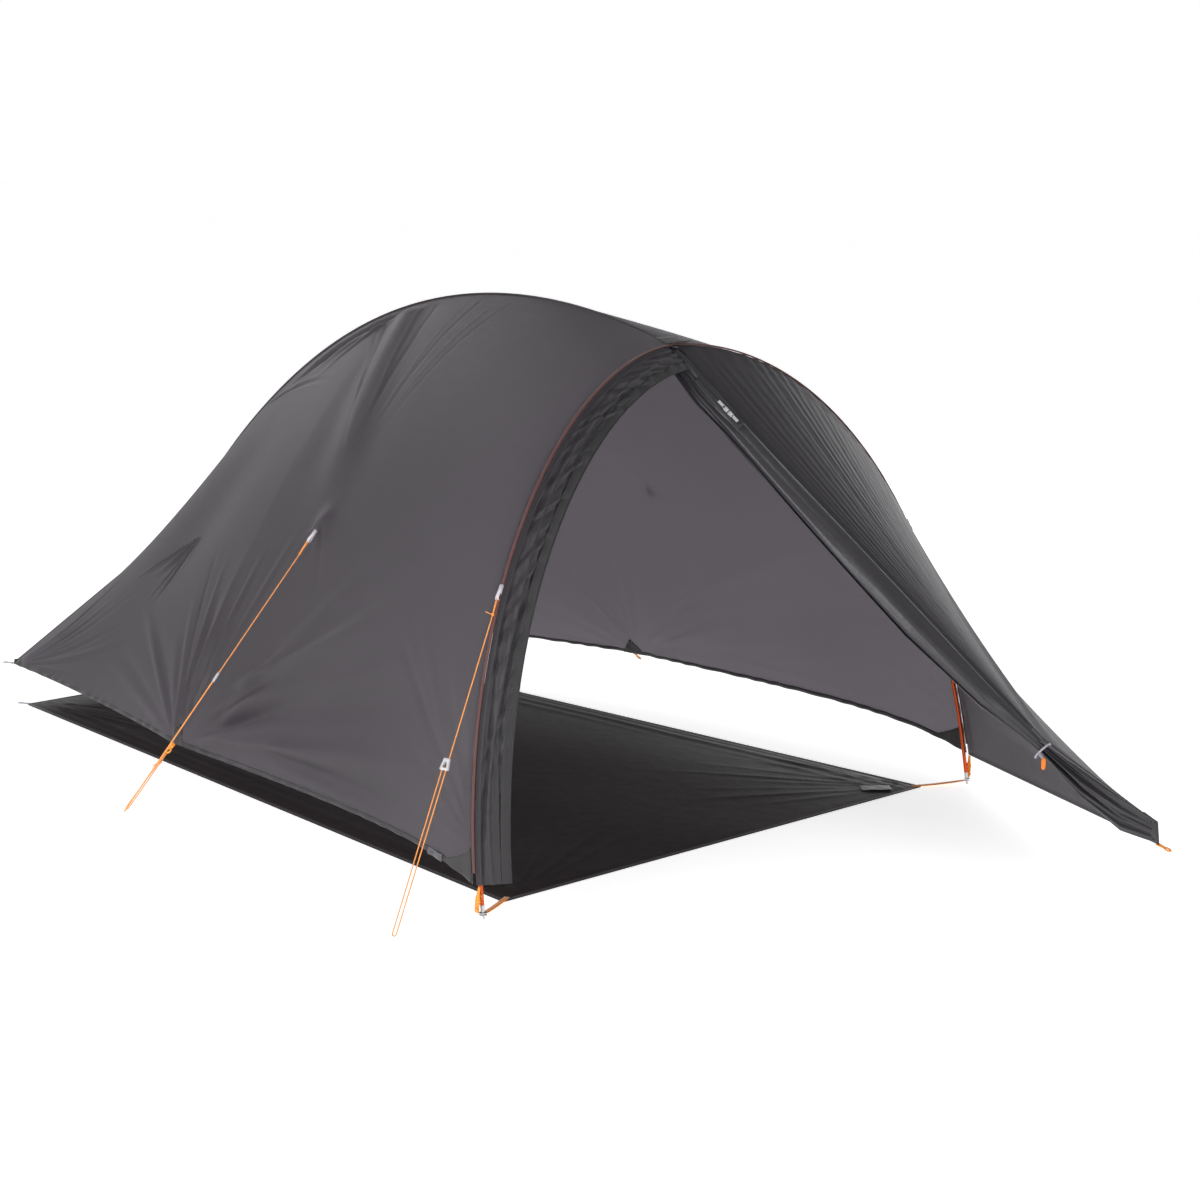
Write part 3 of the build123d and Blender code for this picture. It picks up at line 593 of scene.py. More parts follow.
def piece(name, parts, material, replaces=(), rides="tent", thickness=0.0, in_frame=False):
    """Joins parts into one object, which rides on a body and stands for its CAD nodes."""
    verts, faces, flats, start = [], [], [], 0
    for part_verts, part_faces, part_flat in parts:
        verts.append(np.asarray(part_verts, float))
        faces += [[start + i for i in face] for face in part_faces]
        flats.append(part_flat)
        start += len(part_verts)
    verts = np.concatenate(verts)
    mesh = bpy.data.meshes.new(name)
    mesh.from_pydata((verts if in_frame else to_frame(verts)).tolist(), [], faces)
    layer = mesh.uv_layers.new(name="flat")
    corner = np.zeros(len(mesh.loops), np.int32)
    mesh.loops.foreach_get("vertex_index", corner)
    layer.data.foreach_set("uv", np.concatenate(flats)[corner].astype(np.float32).ravel())
    mesh.shade_smooth()
    made = bpy.data.objects.new(name, mesh)
    bpy.context.scene.collection.objects.link(made)
    made.data.materials.append(MATERIALS[material])
    if thickness:
        cloth = made.modifiers.new("cloth", "SOLIDIFY")
        cloth.thickness = thickness
        cloth.offset = 0
    if rides:
        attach(made, rides)
    if replaces:
        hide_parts(*replaces)
    return made


def finish_node(name, material):
    """Gives a CAD node its finish."""
    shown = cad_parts[name]
    if not shown.data.materials:
        shown.data.materials.append(MATERIALS[material])
    for place in shown.material_slots:
        place.material = MATERIALS[material]


def spline_curve(name, points, radius, material):
    """A smooth cord on its route's own points, in the frame."""
    data = bpy.data.curves.new(name, "CURVE")
    data.dimensions = "3D"
    data.resolution_u = 12
    data.bevel_depth = radius
    data.bevel_resolution = 3
    data.use_fill_caps = True
    line = data.splines.new("NURBS")
    line.points.add(len(points) - 1)
    for place, point in zip(line.points, points):
        place.co = (*point, 1.0)
    line.order_u = 3
    line.use_endpoint_u = True
    made = bpy.data.objects.new(name, data)
    bpy.context.scene.collection.objects.link(made)
    if material:
        data.materials.append(MATERIALS[material])
    return made


def spline_points(points):
    """The points that stand for a smooth cord's line."""
    guide = spline_curve("guide", points, 0.0, None)
    bpy.context.view_layer.update()
    mesh = bpy.data.meshes.new_from_object(guide)
    found = np.array([v.co[:] for v in mesh.vertices])
    bpy.data.objects.remove(guide)
    bpy.data.meshes.remove(mesh)
    return found


def ring_line(centre, normal, radius, count=14, first=0.0, last=360.0):
    """Points round a centre."""
    normal = unit(normal)
    side = unit(np.cross(normal, UP if abs(normal[2]) < 0.9 else np.array([1.0, 0, 0])))
    other = np.cross(normal, side)
    turns = np.radians(np.linspace(first, last, count))
    return centre + radius * (np.cos(turns)[:, None] * side + np.sin(turns)[:, None] * other)


# ---------------------------------------------------------------- operators


class StageOperator(bpy.types.Operator):
    """Sets the camera, the lights and a plain pale floor, and mixes the materials."""
    bl_idname = "tent.stage"
    bl_label = "Stage"

    def execute(self, context):
        scene = context.scene
        MATERIALS.update(make_materials(scene.tent_colours))
        camera = bpy.data.cameras.new("camera")
        camera.sensor_width = 36.0
        camera.lens = CAMERA_LENS
        camera.clip_end = 200.0
        looking = bpy.data.objects.new("camera", camera)
        scene.collection.objects.link(looking)
        yaw, flat = CAMERA_YAW, math.cos(CAMERA_DIP)
        ahead = Vector((flat * math.sin(yaw), flat * math.cos(yaw), -math.sin(CAMERA_DIP)))
        level = Vector((math.cos(yaw), -math.sin(yaw), 0.0))
        above = level.cross(ahead)
        right = math.cos(CAMERA_TILT) * level + math.sin(CAMERA_TILT) * above
        upright = right.cross(ahead)
        turn = Matrix((right, upright, -ahead)).transposed()
        looking.matrix_world = Matrix.Translation(CAMERA_PLACE) @ turn.to_4x4()
        scene.camera = looking

        # matt painted studio floor, almost white
        floor_material, tree = empty_material("painted_studio_floor")
        mottle = node(tree, "ShaderNodeTexNoise", {"Scale": 4.0, "Detail": 3.0})
        paint = node(tree, "ShaderNodeMix", {
            "Factor": mottle.outputs["Fac"], 6: (*linear("#f6f6f6"), 1), 7: (*linear("#f9f9f9"), 1)},
            data_type="RGBA")
        matt = node(tree, "ShaderNodeBsdfPrincipled", {
            "Base Color": paint.outputs[2], "Roughness": 0.9, "Specular IOR Level": 0.1,
            "Emission Color": (1, 1, 1, 1), "Emission Strength": 0.66})
        node(tree, "ShaderNodeOutputMaterial", {"Surface": matt.outputs[0]})
        ground = bpy.data.meshes.new("floor")
        turns = [k * math.pi / 32 for k in range(64)]
        rim = [(60 * math.cos(turn), 60 * math.sin(turn), -0.0005) for turn in turns]
        ground.from_pydata(rim, [], [list(range(64))])
        floor = bpy.data.objects.new("floor", ground)
        ground.materials.append(floor_material)
        scene.collection.objects.link(floor)

        world = bpy.data.worlds.new("studio")
        world.use_nodes = True
        world.node_tree.nodes.clear()
        # an even white room whose ceiling is dimmer than its walls
        way = node(world.node_tree, "ShaderNodeTexCoord").outputs["Generated"]
        height = node(world.node_tree, "ShaderNodeSeparateXYZ", {0: way}).outputs[2]
        level_of = node(world.node_tree, "ShaderNodeMapRange", {
            "Value": height, "From Min": 0.1, "From Max": 0.6, "To Min": 1.0, "To Max": 0.24})
        sky = node(world.node_tree, "ShaderNodeBackground", {
            "Color": (1, 1, 1, 1), "Strength": level_of.outputs[0]})
        node(world.node_tree, "ShaderNodeOutputWorld", {"Surface": sky.outputs[0]})
        scene.world = world
        aim = Vector((0, 0, 0.4))
        for name, place, size, power in (
                ("left softbox", (-4.8, 0.4, 1.7), 3.0, 120),
                ("right softbox", (4.6, 1.8, 1.6), 3.0, 40),
                ("front softbox", (-1.0, -5.2, 2.4), 2.6, 70),
                ("rear softbox", (1.5, 5.0, 3.0), 3.0, 50)):
            lamp = bpy.data.lights.new(name, "AREA")
            lamp.shape = "SQUARE"
            lamp.size = size
            lamp.energy = power
            holder = bpy.data.objects.new(name, lamp)
            holder.location = place
            holder.rotation_mode = "QUATERNION"
            holder.rotation_quaternion = (aim - Vector(place)).to_track_quat("-Z", "Y")
            scene.collection.objects.link(holder)
        scene.view_settings.view_transform = "Standard"
        scene.view_settings.look = "None"
        return {"FINISHED"}


LOOP = 0.005


def guy_tab(start, way):
    """A folded webbing tab that runs out of the cloth and back round a small eye."""
    way = unit(way)
    out = unit(np.cross(way, [0, 1, 0]))
    side = np.cross(way, out)
    line = [start - way * 0.004 + out * 0.001, start + way * 0.012 + out * 0.0012,
            start + way * 0.022 + out * 0.0028, start + way * 0.0275 + out * 0.0022,
            start + way * 0.029, start + way * 0.0275 - out * 0.0022,
            start + way * 0.022 - out * 0.0028, start + way * 0.012 - out * 0.0012,
            start - way * 0.004 - out * 0.001]
    return ribbon(np.array(line), side, 0.010, 0.0012)


def wraps(knot, down, step, radius, wire):
    """Three turns of cord round a knot."""
    return [tube(ring_line(knot + down * k * step, down, radius), wire, 8) for k in (-1, 0, 1)]


class GuylinesOperator(bpy.types.Operator):
    """Makes the two guylines, the side tab's cord, their knots and tensioners, and the guy-out tabs."""
    bl_idname = "tent.guylines"
    bl_label = "Guylines"

    def execute(self, context):
        sizes = context.scene.tent_sizes
        thick = sizes.cord
        lines = {
            "middle_left": ((-0.546793, 0.885008, 0.63201), (-0.897689, 1.13833, 0.008108)),
            "front_left": ((-0.642383, 0.096355, 0.625581), (-0.962708, 0.027493, 0.008416)),
        }
        for name, (start, turn) in lines.items():
            start, turn = to_frame(start), to_frame(turn)
            down = unit(turn - start)
            across = unit(np.cross(down, UP))
            facing = np.cross(across, down)
            far = turn + across * 2 * LOOP
            route = [start, start + down * 0.02, turn - down * 0.015, turn + down * LOOP,
                     far + down * LOOP, far]
            # the double loop that ties it to its tab, the wrapped knot and the cut end
            knot = start + down * 0.03
            second = [start - down * 0.006 + facing * 0.002, start + facing * 0.0032,
                      knot + facing * 0.001]
            end = [knot, knot + across * 0.008 - down * 0.001, knot + across * 0.02 - down * 0.004]
            tie = piece(f"{name}_guyline_knot", [
                *wraps(knot, down, 0.0016, 0.0021, KNOT_WIRE), tube(second, KNOT_WIRE, 8),
                tube(end, KNOT_WIRE, 8)], "cord", in_frame=True)
            line = spline_curve(f"{name}_guyline_cord", route, thick / 2, "cord")
            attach(line, "tent")
            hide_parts(f"{name}_guyline")

            middle = start + (turn - start) * 0.5
            top = middle + across * 2 * LOOP
            path = spline_points([far, far + (top - far) * 0.3, far + (top - far) * 0.7, top])
            back = piece(f"{name}_return_strand", [tube(path, thick / 2, 10)], "cord",
                         replaces=[f"{name}_guyline_return"], rides=None, in_frame=True)
            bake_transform(back)

            # the tensioner: a tapered frame with a bar across it, over both strands
            centre = middle + across * LOOP
            outer = [(-0.013, 0.0062), (-0.0115, 0.0075), (0.0105, 0.0108), (0.012, 0.0092)]
            outer = outer + [(a, -b) for a, b in reversed(outer)]
            inner = [(-0.0055, 0.0018), (-0.005, 0.0022), (0.0055, 0.0058), (0.0065, 0.0048)]
            inner = inner + [(a, -b) for a, b in reversed(inner)]
            levels = ((outer, -0.0022), (outer, 0.0022), (inner, 0.0026), (inner, -0.0026))
            rings = np.array([[centre + down * a + across * b + facing * height for a, b in outline]
                              for outline, height in levels]).reshape(-1, 3)
            faces = [[i * 8 + k, i * 8 + (k + 1) % 8, (i + 1) % 4 * 8 + (k + 1) % 8, (i + 1) % 4 * 8 + k]
                     for i in range(4) for k in range(8)]
            runner = piece(f"{name}_tensioner_frame", [(rings, faces, rings[:, :2])], "tensioner",
                           replaces=[f"{name}_tensioner"],
                           rides=f"{name}_tensioner", in_frame=True)
            ease = runner.modifiers.new("eased edges", "BEVEL")
            ease.width, ease.segments = 0.0007, 2

        start, turn = to_frame((-0.767423, 1.16189, 0.116607)), to_frame((-0.878438, 1.15425, 0.0075))
        down = unit(turn - start)
        across = unit(np.cross(down, UP))
        far = turn + across * 2 * LOOP
        back = start + across * 0.004
        route = [start, start + down * 0.018, turn - down * 0.015, turn + down * LOOP, far + down * LOOP,
                 far - down * 0.015, back + down * 0.018, back]
        knot = start + down * 0.024 + across * 0.002
        end = [knot, knot + across * 0.006 + down * 0.004, knot + across * 0.014 + down * 0.014]
        tie = piece("left_side_cord_knot", [
            *wraps(knot, down, 0.0018, 0.0032, 0.0012), tube(end, KNOT_WIRE, 8)], "cord", in_frame=True)
        side = spline_curve("left_side_cord", route, thick / 2, "cord")
        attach(side, "tent")
        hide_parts("left_side_stake_cord")

        for name in ("middle_left", "front_left", "middle_right", "front_right"):
            flip = np.array([1 if "left" in name else -1, 1, 1])
            line_start, line_turn = (np.array(p) for p in lines[name.replace("right", "left")])
            outward = unit(line_turn - line_start) * flip
            end = to_frame(line_start * flip)
            piece(f"{name}_guy_loop", [guy_tab(end - outward * 0.0305, outward)], "pale_webbing",
                  replaces=[f"{name}_guy_tab"], in_frame=True)
        return {"FINISHED"}


def fly_place(side):
    flip = np.array([side, 1.0, 1.0])
    return lambda u, v: body(u, v) * flip


def fly_points(side, u, v, offset=0.0):
    """Points of the folded fly; offset stands them off its outer face."""
    near = 0 if side < 0 else 100
    height = body_folds(u, v, near) + offset
    # body() on the right has its normal inwards with this order, and mirrored on the left
    return lifted(fly_place(side), u, v, height * (1 if side < 0 else -1))


class FlyBodyOperator(bpy.types.Operator):
    """Makes the two halves of the fly with their folds, hem tape and corner patches."""
    bl_idname = "tent.fly_body"
    bl_label = "Fly body"

    def execute(self, context):
        sizes = context.scene.tent_sizes
        u = column(0.0022, 1.0, 300)
        v = row(0.0, 1.0, 190)
        for side, name in ((-1, "left"), (1, "right")):
            points = fly_points(side, u, v)
            points[..., 0] = side * np.maximum(side * points[..., 0], RIDGE_GAP)
            flat = pairs(u * BODY_LENGTH, v * BODY_DROP)
            panel = piece(f"fly_{name}_cloth", [grid_part(points, flat)], "fly",
                          replaces=[f"fly_{name}_panel"], thickness=sizes.cloth)
            # tape folded over the hem, a little thicker than the cloth
            ends = np.linspace(0.003, 0.998, 260)
            edge = fly_points(side, ends, np.full_like(ends, 0.9955))
            above = fly_points(side, ends, np.full_like(ends, 0.96))
            folded = ribbon(edge, above - edge, sizes.hem_tape, TAPE_THICKNESS)
            tape = piece(f"fly_{name}_hem_tape", [folded], "trim")
            # doubled cloth at the front corner, at the side tab and at the rear corner
            patches = []
            for low, high, top in ((0.003, 0.05, 0.955), (0.475, 0.51, 0.962), (0.97, 0.998, 0.955)):
                a = column(low, high, 16)
                shape = 1 - np.abs(np.linspace(-1, 1, 16))[:, None]
                if low < 0.01:
                    shape = (1 - column(0, 1, 16) ** 0.7)
                if high > 0.99:
                    shape = column(0, 1, 16) ** 1.5
                b = 1 - (1 - top) * shape * row(1, 0, 10)
                for stand in (0.0011, -0.0011):
                    patch = fly_points(side, a + 0 * b, b, stand)
                    flats = pairs(a * BODY_LENGTH, b * BODY_DROP)
                    patches.append(grid_part(patch, flats))
            piece(f"fly_{name}_patches", patches, "trim", thickness=0.0005)
        # the felled seam over the ridge
        y = np.linspace(ARCH_LEAN + 0.004, RIDGE_END_Y, 160)
        top = ridge(y) + np.array([0, 0, 0.0002])
        seam = tube(top, 0.0065, 10, flatten=0.16, across=np.array([1.0, 0, 0]))
        piece("ridge_seam", [seam], "fly")
        return {"FINISHED"}


class RearPanelOperator(bpy.types.Operator):
    """Makes the small steep panel that closes the back of the fly."""
    bl_idname = "tent.rear_panel"
    bl_label = "Rear panel"

    def execute(self, context):
        sizes = context.scene.tent_sizes
        top = body(1.0, 0.0) + np.array([0, 0.0025, 0])
        left = hem(1.0) * MIRROR + np.array([0.004, 0.0025, 0])
        right = hem(1.0) + np.array([-0.004, 0.0025, 0])
        across = np.linspace(0, 1, 90)[None, :, None]
        down = np.linspace(0.004, 1, 60)[:, None, None]
        points = top + (left + (right - left) * across - top) * down
        a, d = across[..., 0], down[..., 0]
        s, t = (a - 0.5) * d * 1.03, d * 0.37
        folds = fan(s, t, (0, 0), 40, 140, 9, 0.36, 0.02, 0.003, 71)
        folds = folds + fan(s, t, (-0.5, 0.37), -35, -5, 5, 0.5, 0.02, 0.003, 73)
        folds = folds + fan(s, t, (0.5, 0.37), -145, -175, 5, 0.5, 0.02, 0.003, 75)
        sag = -0.012 * np.sin(math.pi * a) * np.sin(math.pi * d)
        out = unit(np.cross(right - left, top - left))
        out = out if out[1] > 0 else -out
        points = points + out * (folds * np.sin(math.pi * a) ** 0.5 * smooth(d / 0.1) + sag)[..., None]
        flat = pairs(s, t)
        panel = piece("fly_rear_cloth", [grid_part(points, flat)], "fly",
                      replaces=["fly_rear_panel"], thickness=sizes.cloth)
        edge = points[-1] + UP * 0.005
        tape = piece("fly_rear_hem_tape", [ribbon(edge, UP, sizes.hem_tape, TAPE_THICKNESS)], "trim")
        seams = []
        for line in (points[:, 0], points[:, -1]):
            seams.append(tube(line, 0.0045, 8, flatten=0.4, across=out))
        piece("fly_rear_seams", seams, "trim")
        return {"FINISHED"}


class PipingOperator(bpy.types.Operator):
    """Makes the piping that covers the seam over the front arch, and its cap at the top."""
    bl_idname = "tent.piping"
    bl_label = "Arch piping"

    def execute(self, context):
        sizes = context.scene.tent_sizes
        v = np.linspace(0.0, 0.985, 220)
        sides = []
        for side in (-1, 1):
            line = arch(v) * np.array([side, 1, 1])
            outward = unit(line * np.array([1, 0, 1]))
            line = line + outward * 0.0006
            sides.append(tube(line, sizes.piping, 10, flatten=0.42, across=np.cross(outward, unit(
                np.gradient(line, axis=0)))))
        piece("arch_seam_piping", sides, "piping", replaces=["arch_piping"])
        # the doubled square of cloth where both sides and the ridge meet
        a = column(-0.03, 0.03, 12)
        b = row(-0.02, 0.035, 12)
        top = arch(0.0)
        x, y = np.broadcast_arrays(a, b)
        z = top[2] + 0.0032 - 0.9 * x**2 + np.where(y > 0, 0.3, -0.25) * y
        cap = np.stack([x, top[1] + y, z], -1)
        piece("apex_patch", [grid_part(cap, np.stack([x, y], -1))], "trim", thickness=0.001)
        return {"FINISHED"}


class FixedPanelOperator(bpy.types.Operator):
    """Makes the fixed panel on the right of the door, with its hem tape and tip."""
    bl_idname = "tent.fixed_panel"
    bl_label = "Fixed panel"

    def execute(self, context):
        sizes = context.scene.tent_sizes
        t = column(0.004, 1.0, 150)
        v = row(0.0, 1.0, 300)
        points = lifted(fixed, t, v, fixed_folds(t, v) * smooth((1.0 - t) / 0.05) * smooth(v / 0.02)
                        * smooth((1.0 - v) / 0.01))
        flat = pairs(t * FIXED_FLAT[0], v * FIXED_FLAT[1])
        panel = piece("fixed_door_cloth", [grid_part(points, flat)], "door",
                      replaces=["vestibule_right_panel"], thickness=sizes.cloth)
        low = points[:, -1]
        hem_line = low + UP * 0.004
        tape = piece("fixed_door_hem_tape", [ribbon(hem_line, UP, sizes.hem_tape, TAPE_THICKNESS)],
                     "trim")
        tip = points[-1, 266:]
        end = ribbon(tip, low[-1] - low[-12], 0.016, 0.003)
        piece("tip_tape", [end], "trim")
        return {"FINISHED"}


class StripOperator(bpy.types.Operator):
    """Makes the gathered strip on the left of the door with its half of the zip."""
    bl_idname = "tent.strip"
    bl_label = "Left strip and zip edge"

    def execute(self, context):
        w = column(0.003, STRIP_WIDTH, 44)
        v = row(0.03, 1.0, 420)
        points = lifted(strip, w, v, strip_folds(w, v), step=0.001)
        flat = pairs(w, v * STRIP_LENGTH)
        panel = piece("left_strip_cloth", [grid_part(points, flat)], "door",
                      replaces=["vestibule_left_strip"], thickness=0.001)
        inner = points[-1]
        towards = points[-1] - points[-4]
        tape = piece("left_zip_tape", [ribbon(inner - unit(towards) * 0.006, towards, 0.018, 0.0028)],
                     "trim")
        coil = tube(inner + unit(towards) * 0.0036, 0.0021, 8, flatten=0.6, across=towards[0])
        piece("left_zip_coil", [coil], "coil", replaces=["door_zip_chain"])
        return {"FINISHED"}


ROLL_RUN = TIE_POINT - arch(0.0)
ROLL_WAY = unit(ROLL_RUN)
ROLL_SIDE = np.array([-0.72, -0.1, -0.62])
ROLL_SIDE = unit(ROLL_SIDE - ROLL_WAY * (ROLL_SIDE @ ROLL_WAY))
ROLL_STATIONS = ((0.0, 0.012), (0.05, 0.021), (0.12, 0.026), (0.2, 0.026), (0.45, 0.029), (0.7, 0.031),
                 (0.88, 0.024), (0.965, 0.013), (1.0, 0.010))
TAIL_STATIONS = ((0.0, 0.012, 0.010), (0.05, 0.015, 0.010), (0.35, 0.030, 0.008), (0.7, 0.034, 0.005),
                 (0.97, 0.022, 0.0025))


class RolledDoorOperator(bpy.types.Operator):
    """Makes the rolled door as one wound sheet, its loose tail, the tie's loop and the toggle."""
    bl_idname = "tent.rolled_door"
    bl_label = "Rolled door"

    def execute(self, context):
        share = column(0.012, 1.012, 200)
        shares, radii = zip(*ROLL_STATIONS)
        radius = np.interp(share, shares, radii)
        whole = ROLL_TURNS * 2 * math.pi
        turn = row(0, whole, 150)
        wound = 1 - 0.42 * turn / whole
        draws = np.random.default_rng(81)
        ridges = 0.05 * np.sin(3 * turn + 4 * share + 0.6) + 0.045 * np.sin(5 * turn - 7 * share)
        for k in range(14):
            middle = draws.uniform(0, 2 * math.pi) + draws.uniform(-2.2, 2.2) * (share - 0.5)
            apart = np.angle(np.exp(1j * (turn - middle)))
            along = np.exp(-((share - draws.uniform(0, 1)) / 0.22) ** 2)
            ridges = ridges - draws.uniform(0.04, 0.13) * np.exp(-(apart / 0.12) ** 2) * along
        gathers = 0.16 * np.sin(9 * turn + 6 * share) * smooth((0.24 - share) / 0.15)
        gathers = gathers + 0.12 * np.sin(7 * turn) * smooth((share - 0.86) / 0.1)
        reach = radius * (wound + ridges * wound + gathers)
        across = np.cross(ROLL_WAY, ROLL_SIDE)
        middle = arch(0.0) + ROLL_RUN * share[..., None] + ROLL_SIDE * (radius + 0.005)[..., None]
        droop = -UP * (0.006 * np.sin(math.pi * share))[..., None]
        points = (middle + droop + ROLL_SIDE * (np.cos(turn) * reach)[..., None]
                  + across * (np.sin(turn) * reach * ROLL_SQUASH)[..., None])
        flat = pairs(share * 1.35, turn * 0.028)
        roll = piece("rolled_door_cloth", [grid_part(points, flat)], "rolled",
                     replaces=["rolled_door"], thickness=0.0008)

        # the flap that joins the roll to the fixed panel
        line = arch(0.0) + ROLL_RUN * column(0.02, 0.97, 60) + ROLL_SIDE * 0.011
        piece("door_flap", [ribbon(line, ROLL_SIDE, 0.028, 0.0014)], "door")

        run = TIP_TOP - TIE_POINT
        share = column(-0.03, 0.97, 82)
        shares, talls, thicks = zip(*TAIL_STATIONS)
        tall, thick = np.interp(share, shares, talls), np.interp(share, shares, thicks)
        place = row(-1, 1, 110)
        lean = np.array([-0.8, -0.35, 0])
        middle = (TIE_POINT + run * share[..., None] + lean * (thick + 0.004)[..., None]
                  - UP * tall[..., None])
        pleats = np.sin(place * 8 + share * 2.2) * 0.75 + 0.35 * np.sin(place * 19 - share * 5)
        points = middle + UP * (place * tall)[..., None] + unit(lean) * (pleats * thick)[..., None]
        flat = pairs(share * 0.28, place * 0.05)
        tail = piece("door_tail_cloth", [grid_part(points, flat)], "rolled",
                     replaces=["door_tail"], thickness=0.0008)

        centre = TIE_POINT + ROLL_SIDE * 0.019 + ROLL_RUN * 0.012
        ring = ring_line(centre, ROLL_WAY, TIE_RADIUS, 40, 0, 359)
        loop = tube(ring, TIE_WIRE, 8, across=ROLL_WAY)
        low, high = node_corners("door_toggle")
        top = np.array([(low[0] + high[0]) / 2, (low[1] + high[1]) / 2, high[2]])
        # two strands from the loop's nearest point to the toggle's hole
        hole = top - UP * 0.0025 + np.array([0, MIDDLE_Y, 0])
        nearest = ring[np.argmin(np.linalg.norm(ring - hole, axis=1))]
        strands = []
        for apart in (-0.0012, 0.0012):
            strand = nearest + (hole - nearest) * column(0, 1, 8) + np.array([apart, -apart, 0])
            strands.append(tube(strand, KNOT_WIRE, 8))
        piece("door_tie_elastic", [loop, *strands], "elastic", replaces=["door_tie_loop"])
        line = top - UP * column(0, high[2] - low[2], 8)
        bend = np.sin(np.linspace(0, math.pi, 8))[:, None] * np.array([-0.0015, -0.0015, 0])
        widths = np.array([5, 8, 9, 9, 9, 9, 8, 5]) / 1000
        tag = ribbon(line + bend, np.array([0.7, -0.7, 0]), widths, 0.003)
        piece("door_toggle_tag", [tag], "toggle", replaces=["door_toggle"],
              rides="door_toggle", in_frame=True)
        return {"FINISHED"}


class ZipOperator(bpy.types.Operator):
    """Makes the short run of zip that shows on the roll and finishes its two sliders and pulls."""
    bl_idname = "tent.zip"
    bl_label = "Zip sliders"

    def execute(self, context):
        face = np.array([-0.6, -0.75, 0.2])
        face = unit(face - ROLL_WAY * (face @ ROLL_WAY))
        low = arch(0.0) + ROLL_RUN * 0.09 + ROLL_SIDE * 0.024 + face * 0.033
        line = low + ROLL_WAY * column(0, 0.15, 40)
        across = np.cross(face, ROLL_WAY)
        piece("door_zip_coil", [tube(line, 0.0025, 8, flatten=0.4, across=across)], "coil",
              replaces=["door_zip_head"])
        under = line - face * 0.0022
        piece("door_zip_band", [ribbon(under, across, 0.02, 0.001)], "trim")
        for name in ("zip_slider_upper", "zip_slider_lower", "zip_pull_upper", "zip_pull_lower"):
            finish_node(name, "zip_metal")
        return {"FINISHED"}


class GroundsheetOperator(bpy.types.Operator):
    """Makes the groundsheet with its shallow wrinkles and bound edge, and the grey patch."""
    bl_idname = "tent.groundsheet"
    bl_label = "Groundsheet"

    def execute(self, context):
        s = column(0, 1, 240)
        a = row(-1, 1, 170)
        half = SHEET_FRONT[0] + (SHEET_REAR[0] - SHEET_FRONT[0]) * s
        x, y = half * a, SHEET_FRONT[1] + (SHEET_REAR[1] - SHEET_FRONT[1]) * s + 0 * a
        inward = (1 - np.abs(a)) * half
        rise = 0.0022 * np.exp(-((inward - 0.02) / 0.008) ** 2)
        rise = rise + 0.003 * np.exp(-((inward - 0.05) / 0.012) ** 2)
        rise = rise + 0.002 * np.exp(-((inward - 0.085) / 0.012) ** 2) * (0.6 + 0.4 * np.sin(y * 6))
        # folds that spread from its four corners
        for corner, first, last, reach, width, depth, seed in (
                ((SHEET_REAR[1], -0.5), 140, 178, 0.9, 0.02, 0.004, 91),
                ((SHEET_REAR[1], 0.5), -140, -178, 0.9, 0.02, 0.004, 93),
                ((SHEET_FRONT[1], -0.64), 8, 70, 0.8, 0.018, 0.003, 95),
                ((SHEET_FRONT[1], 0.64), -8, -70, 0.8, 0.018, 0.003, 97)):
            rise = rise + np.abs(fan(y, x, corner, first, last, 8, reach, width, depth, seed))
        rise = rise + 0.0012 * (1 + np.sin(7 * y + 5 * x) * np.sin(4 * y - 9 * x))
        held = smooth((1 - np.abs(a)) / 0.03) * smooth(s / 0.01) * smooth((1 - s) / 0.01)
        points = np.stack([x, y, 0.001 + rise * held], -1)
        sheet = piece("groundsheet_cloth", [grid_part(points, pairs(y, x))], "ground",
                      replaces=["groundsheet"], thickness=0.0012)
        rims = []
        sideways, lengthways = np.array([1.0, 0, 0]), np.array([0, 1.0, 0])
        for line, across in ((points[:, 0], sideways), (points[:, -1], sideways),
                             (points[0], lengthways), (points[-1], lengthways)):
            rims.append(ribbon(line + UP * 0.0004, across, 0.011, 0.0024))
        rim = piece("groundsheet_binding", rims, "trim")
        p = column(-0.5, 0.5, 22) * PATCH_SIZE[0]
        q = row(-0.5, 0.5, 14) * PATCH_SIZE[1]
        px = PATCH_CENTRE[0] + p * math.cos(PATCH_TURN) - q * math.sin(PATCH_TURN)
        py = PATCH_CENTRE[1] + p * math.sin(PATCH_TURN) + q * math.cos(PATCH_TURN)
        pz = 0.0068 + 0.0006 * np.sin(p * 160) * np.sin(q * 120) + 0 * px
        patch = np.stack([px, py, pz], -1)
        piece("groundsheet_label_patch", [grid_part(patch, pairs(p, q))],
              "patch", replaces=["groundsheet_patch"], thickness=0.0006)
        return {"FINISHED"}


def loop_tab(start, way, reach, width, thick):
    """A peg loop: webbing that runs out flat, opens round the peg and comes back under itself."""
    way = unit(way)
    side = unit(np.cross(way, UP))
    out = np.cross(side, way)
    out = out if out[2] > 0 else -out
    eye = start + way * (reach - 0.009)
    ring = ring_line(eye, out, 0.0062, 26, 0, 360)
    flat = ribbon(np.array([start - way * 0.006, start + way * 0.004, eye - way * 0.0045]), side,
                  np.array([width, width * 0.9, width * 0.62]), thick)
    eyelet = swept(ring, out, np.array([(-0.0011, -0.0021), (0.0011, -0.0021), (0.0011, 0.0021),
                                        (-0.0011, 0.0021)]))
    return [flat, eyelet]


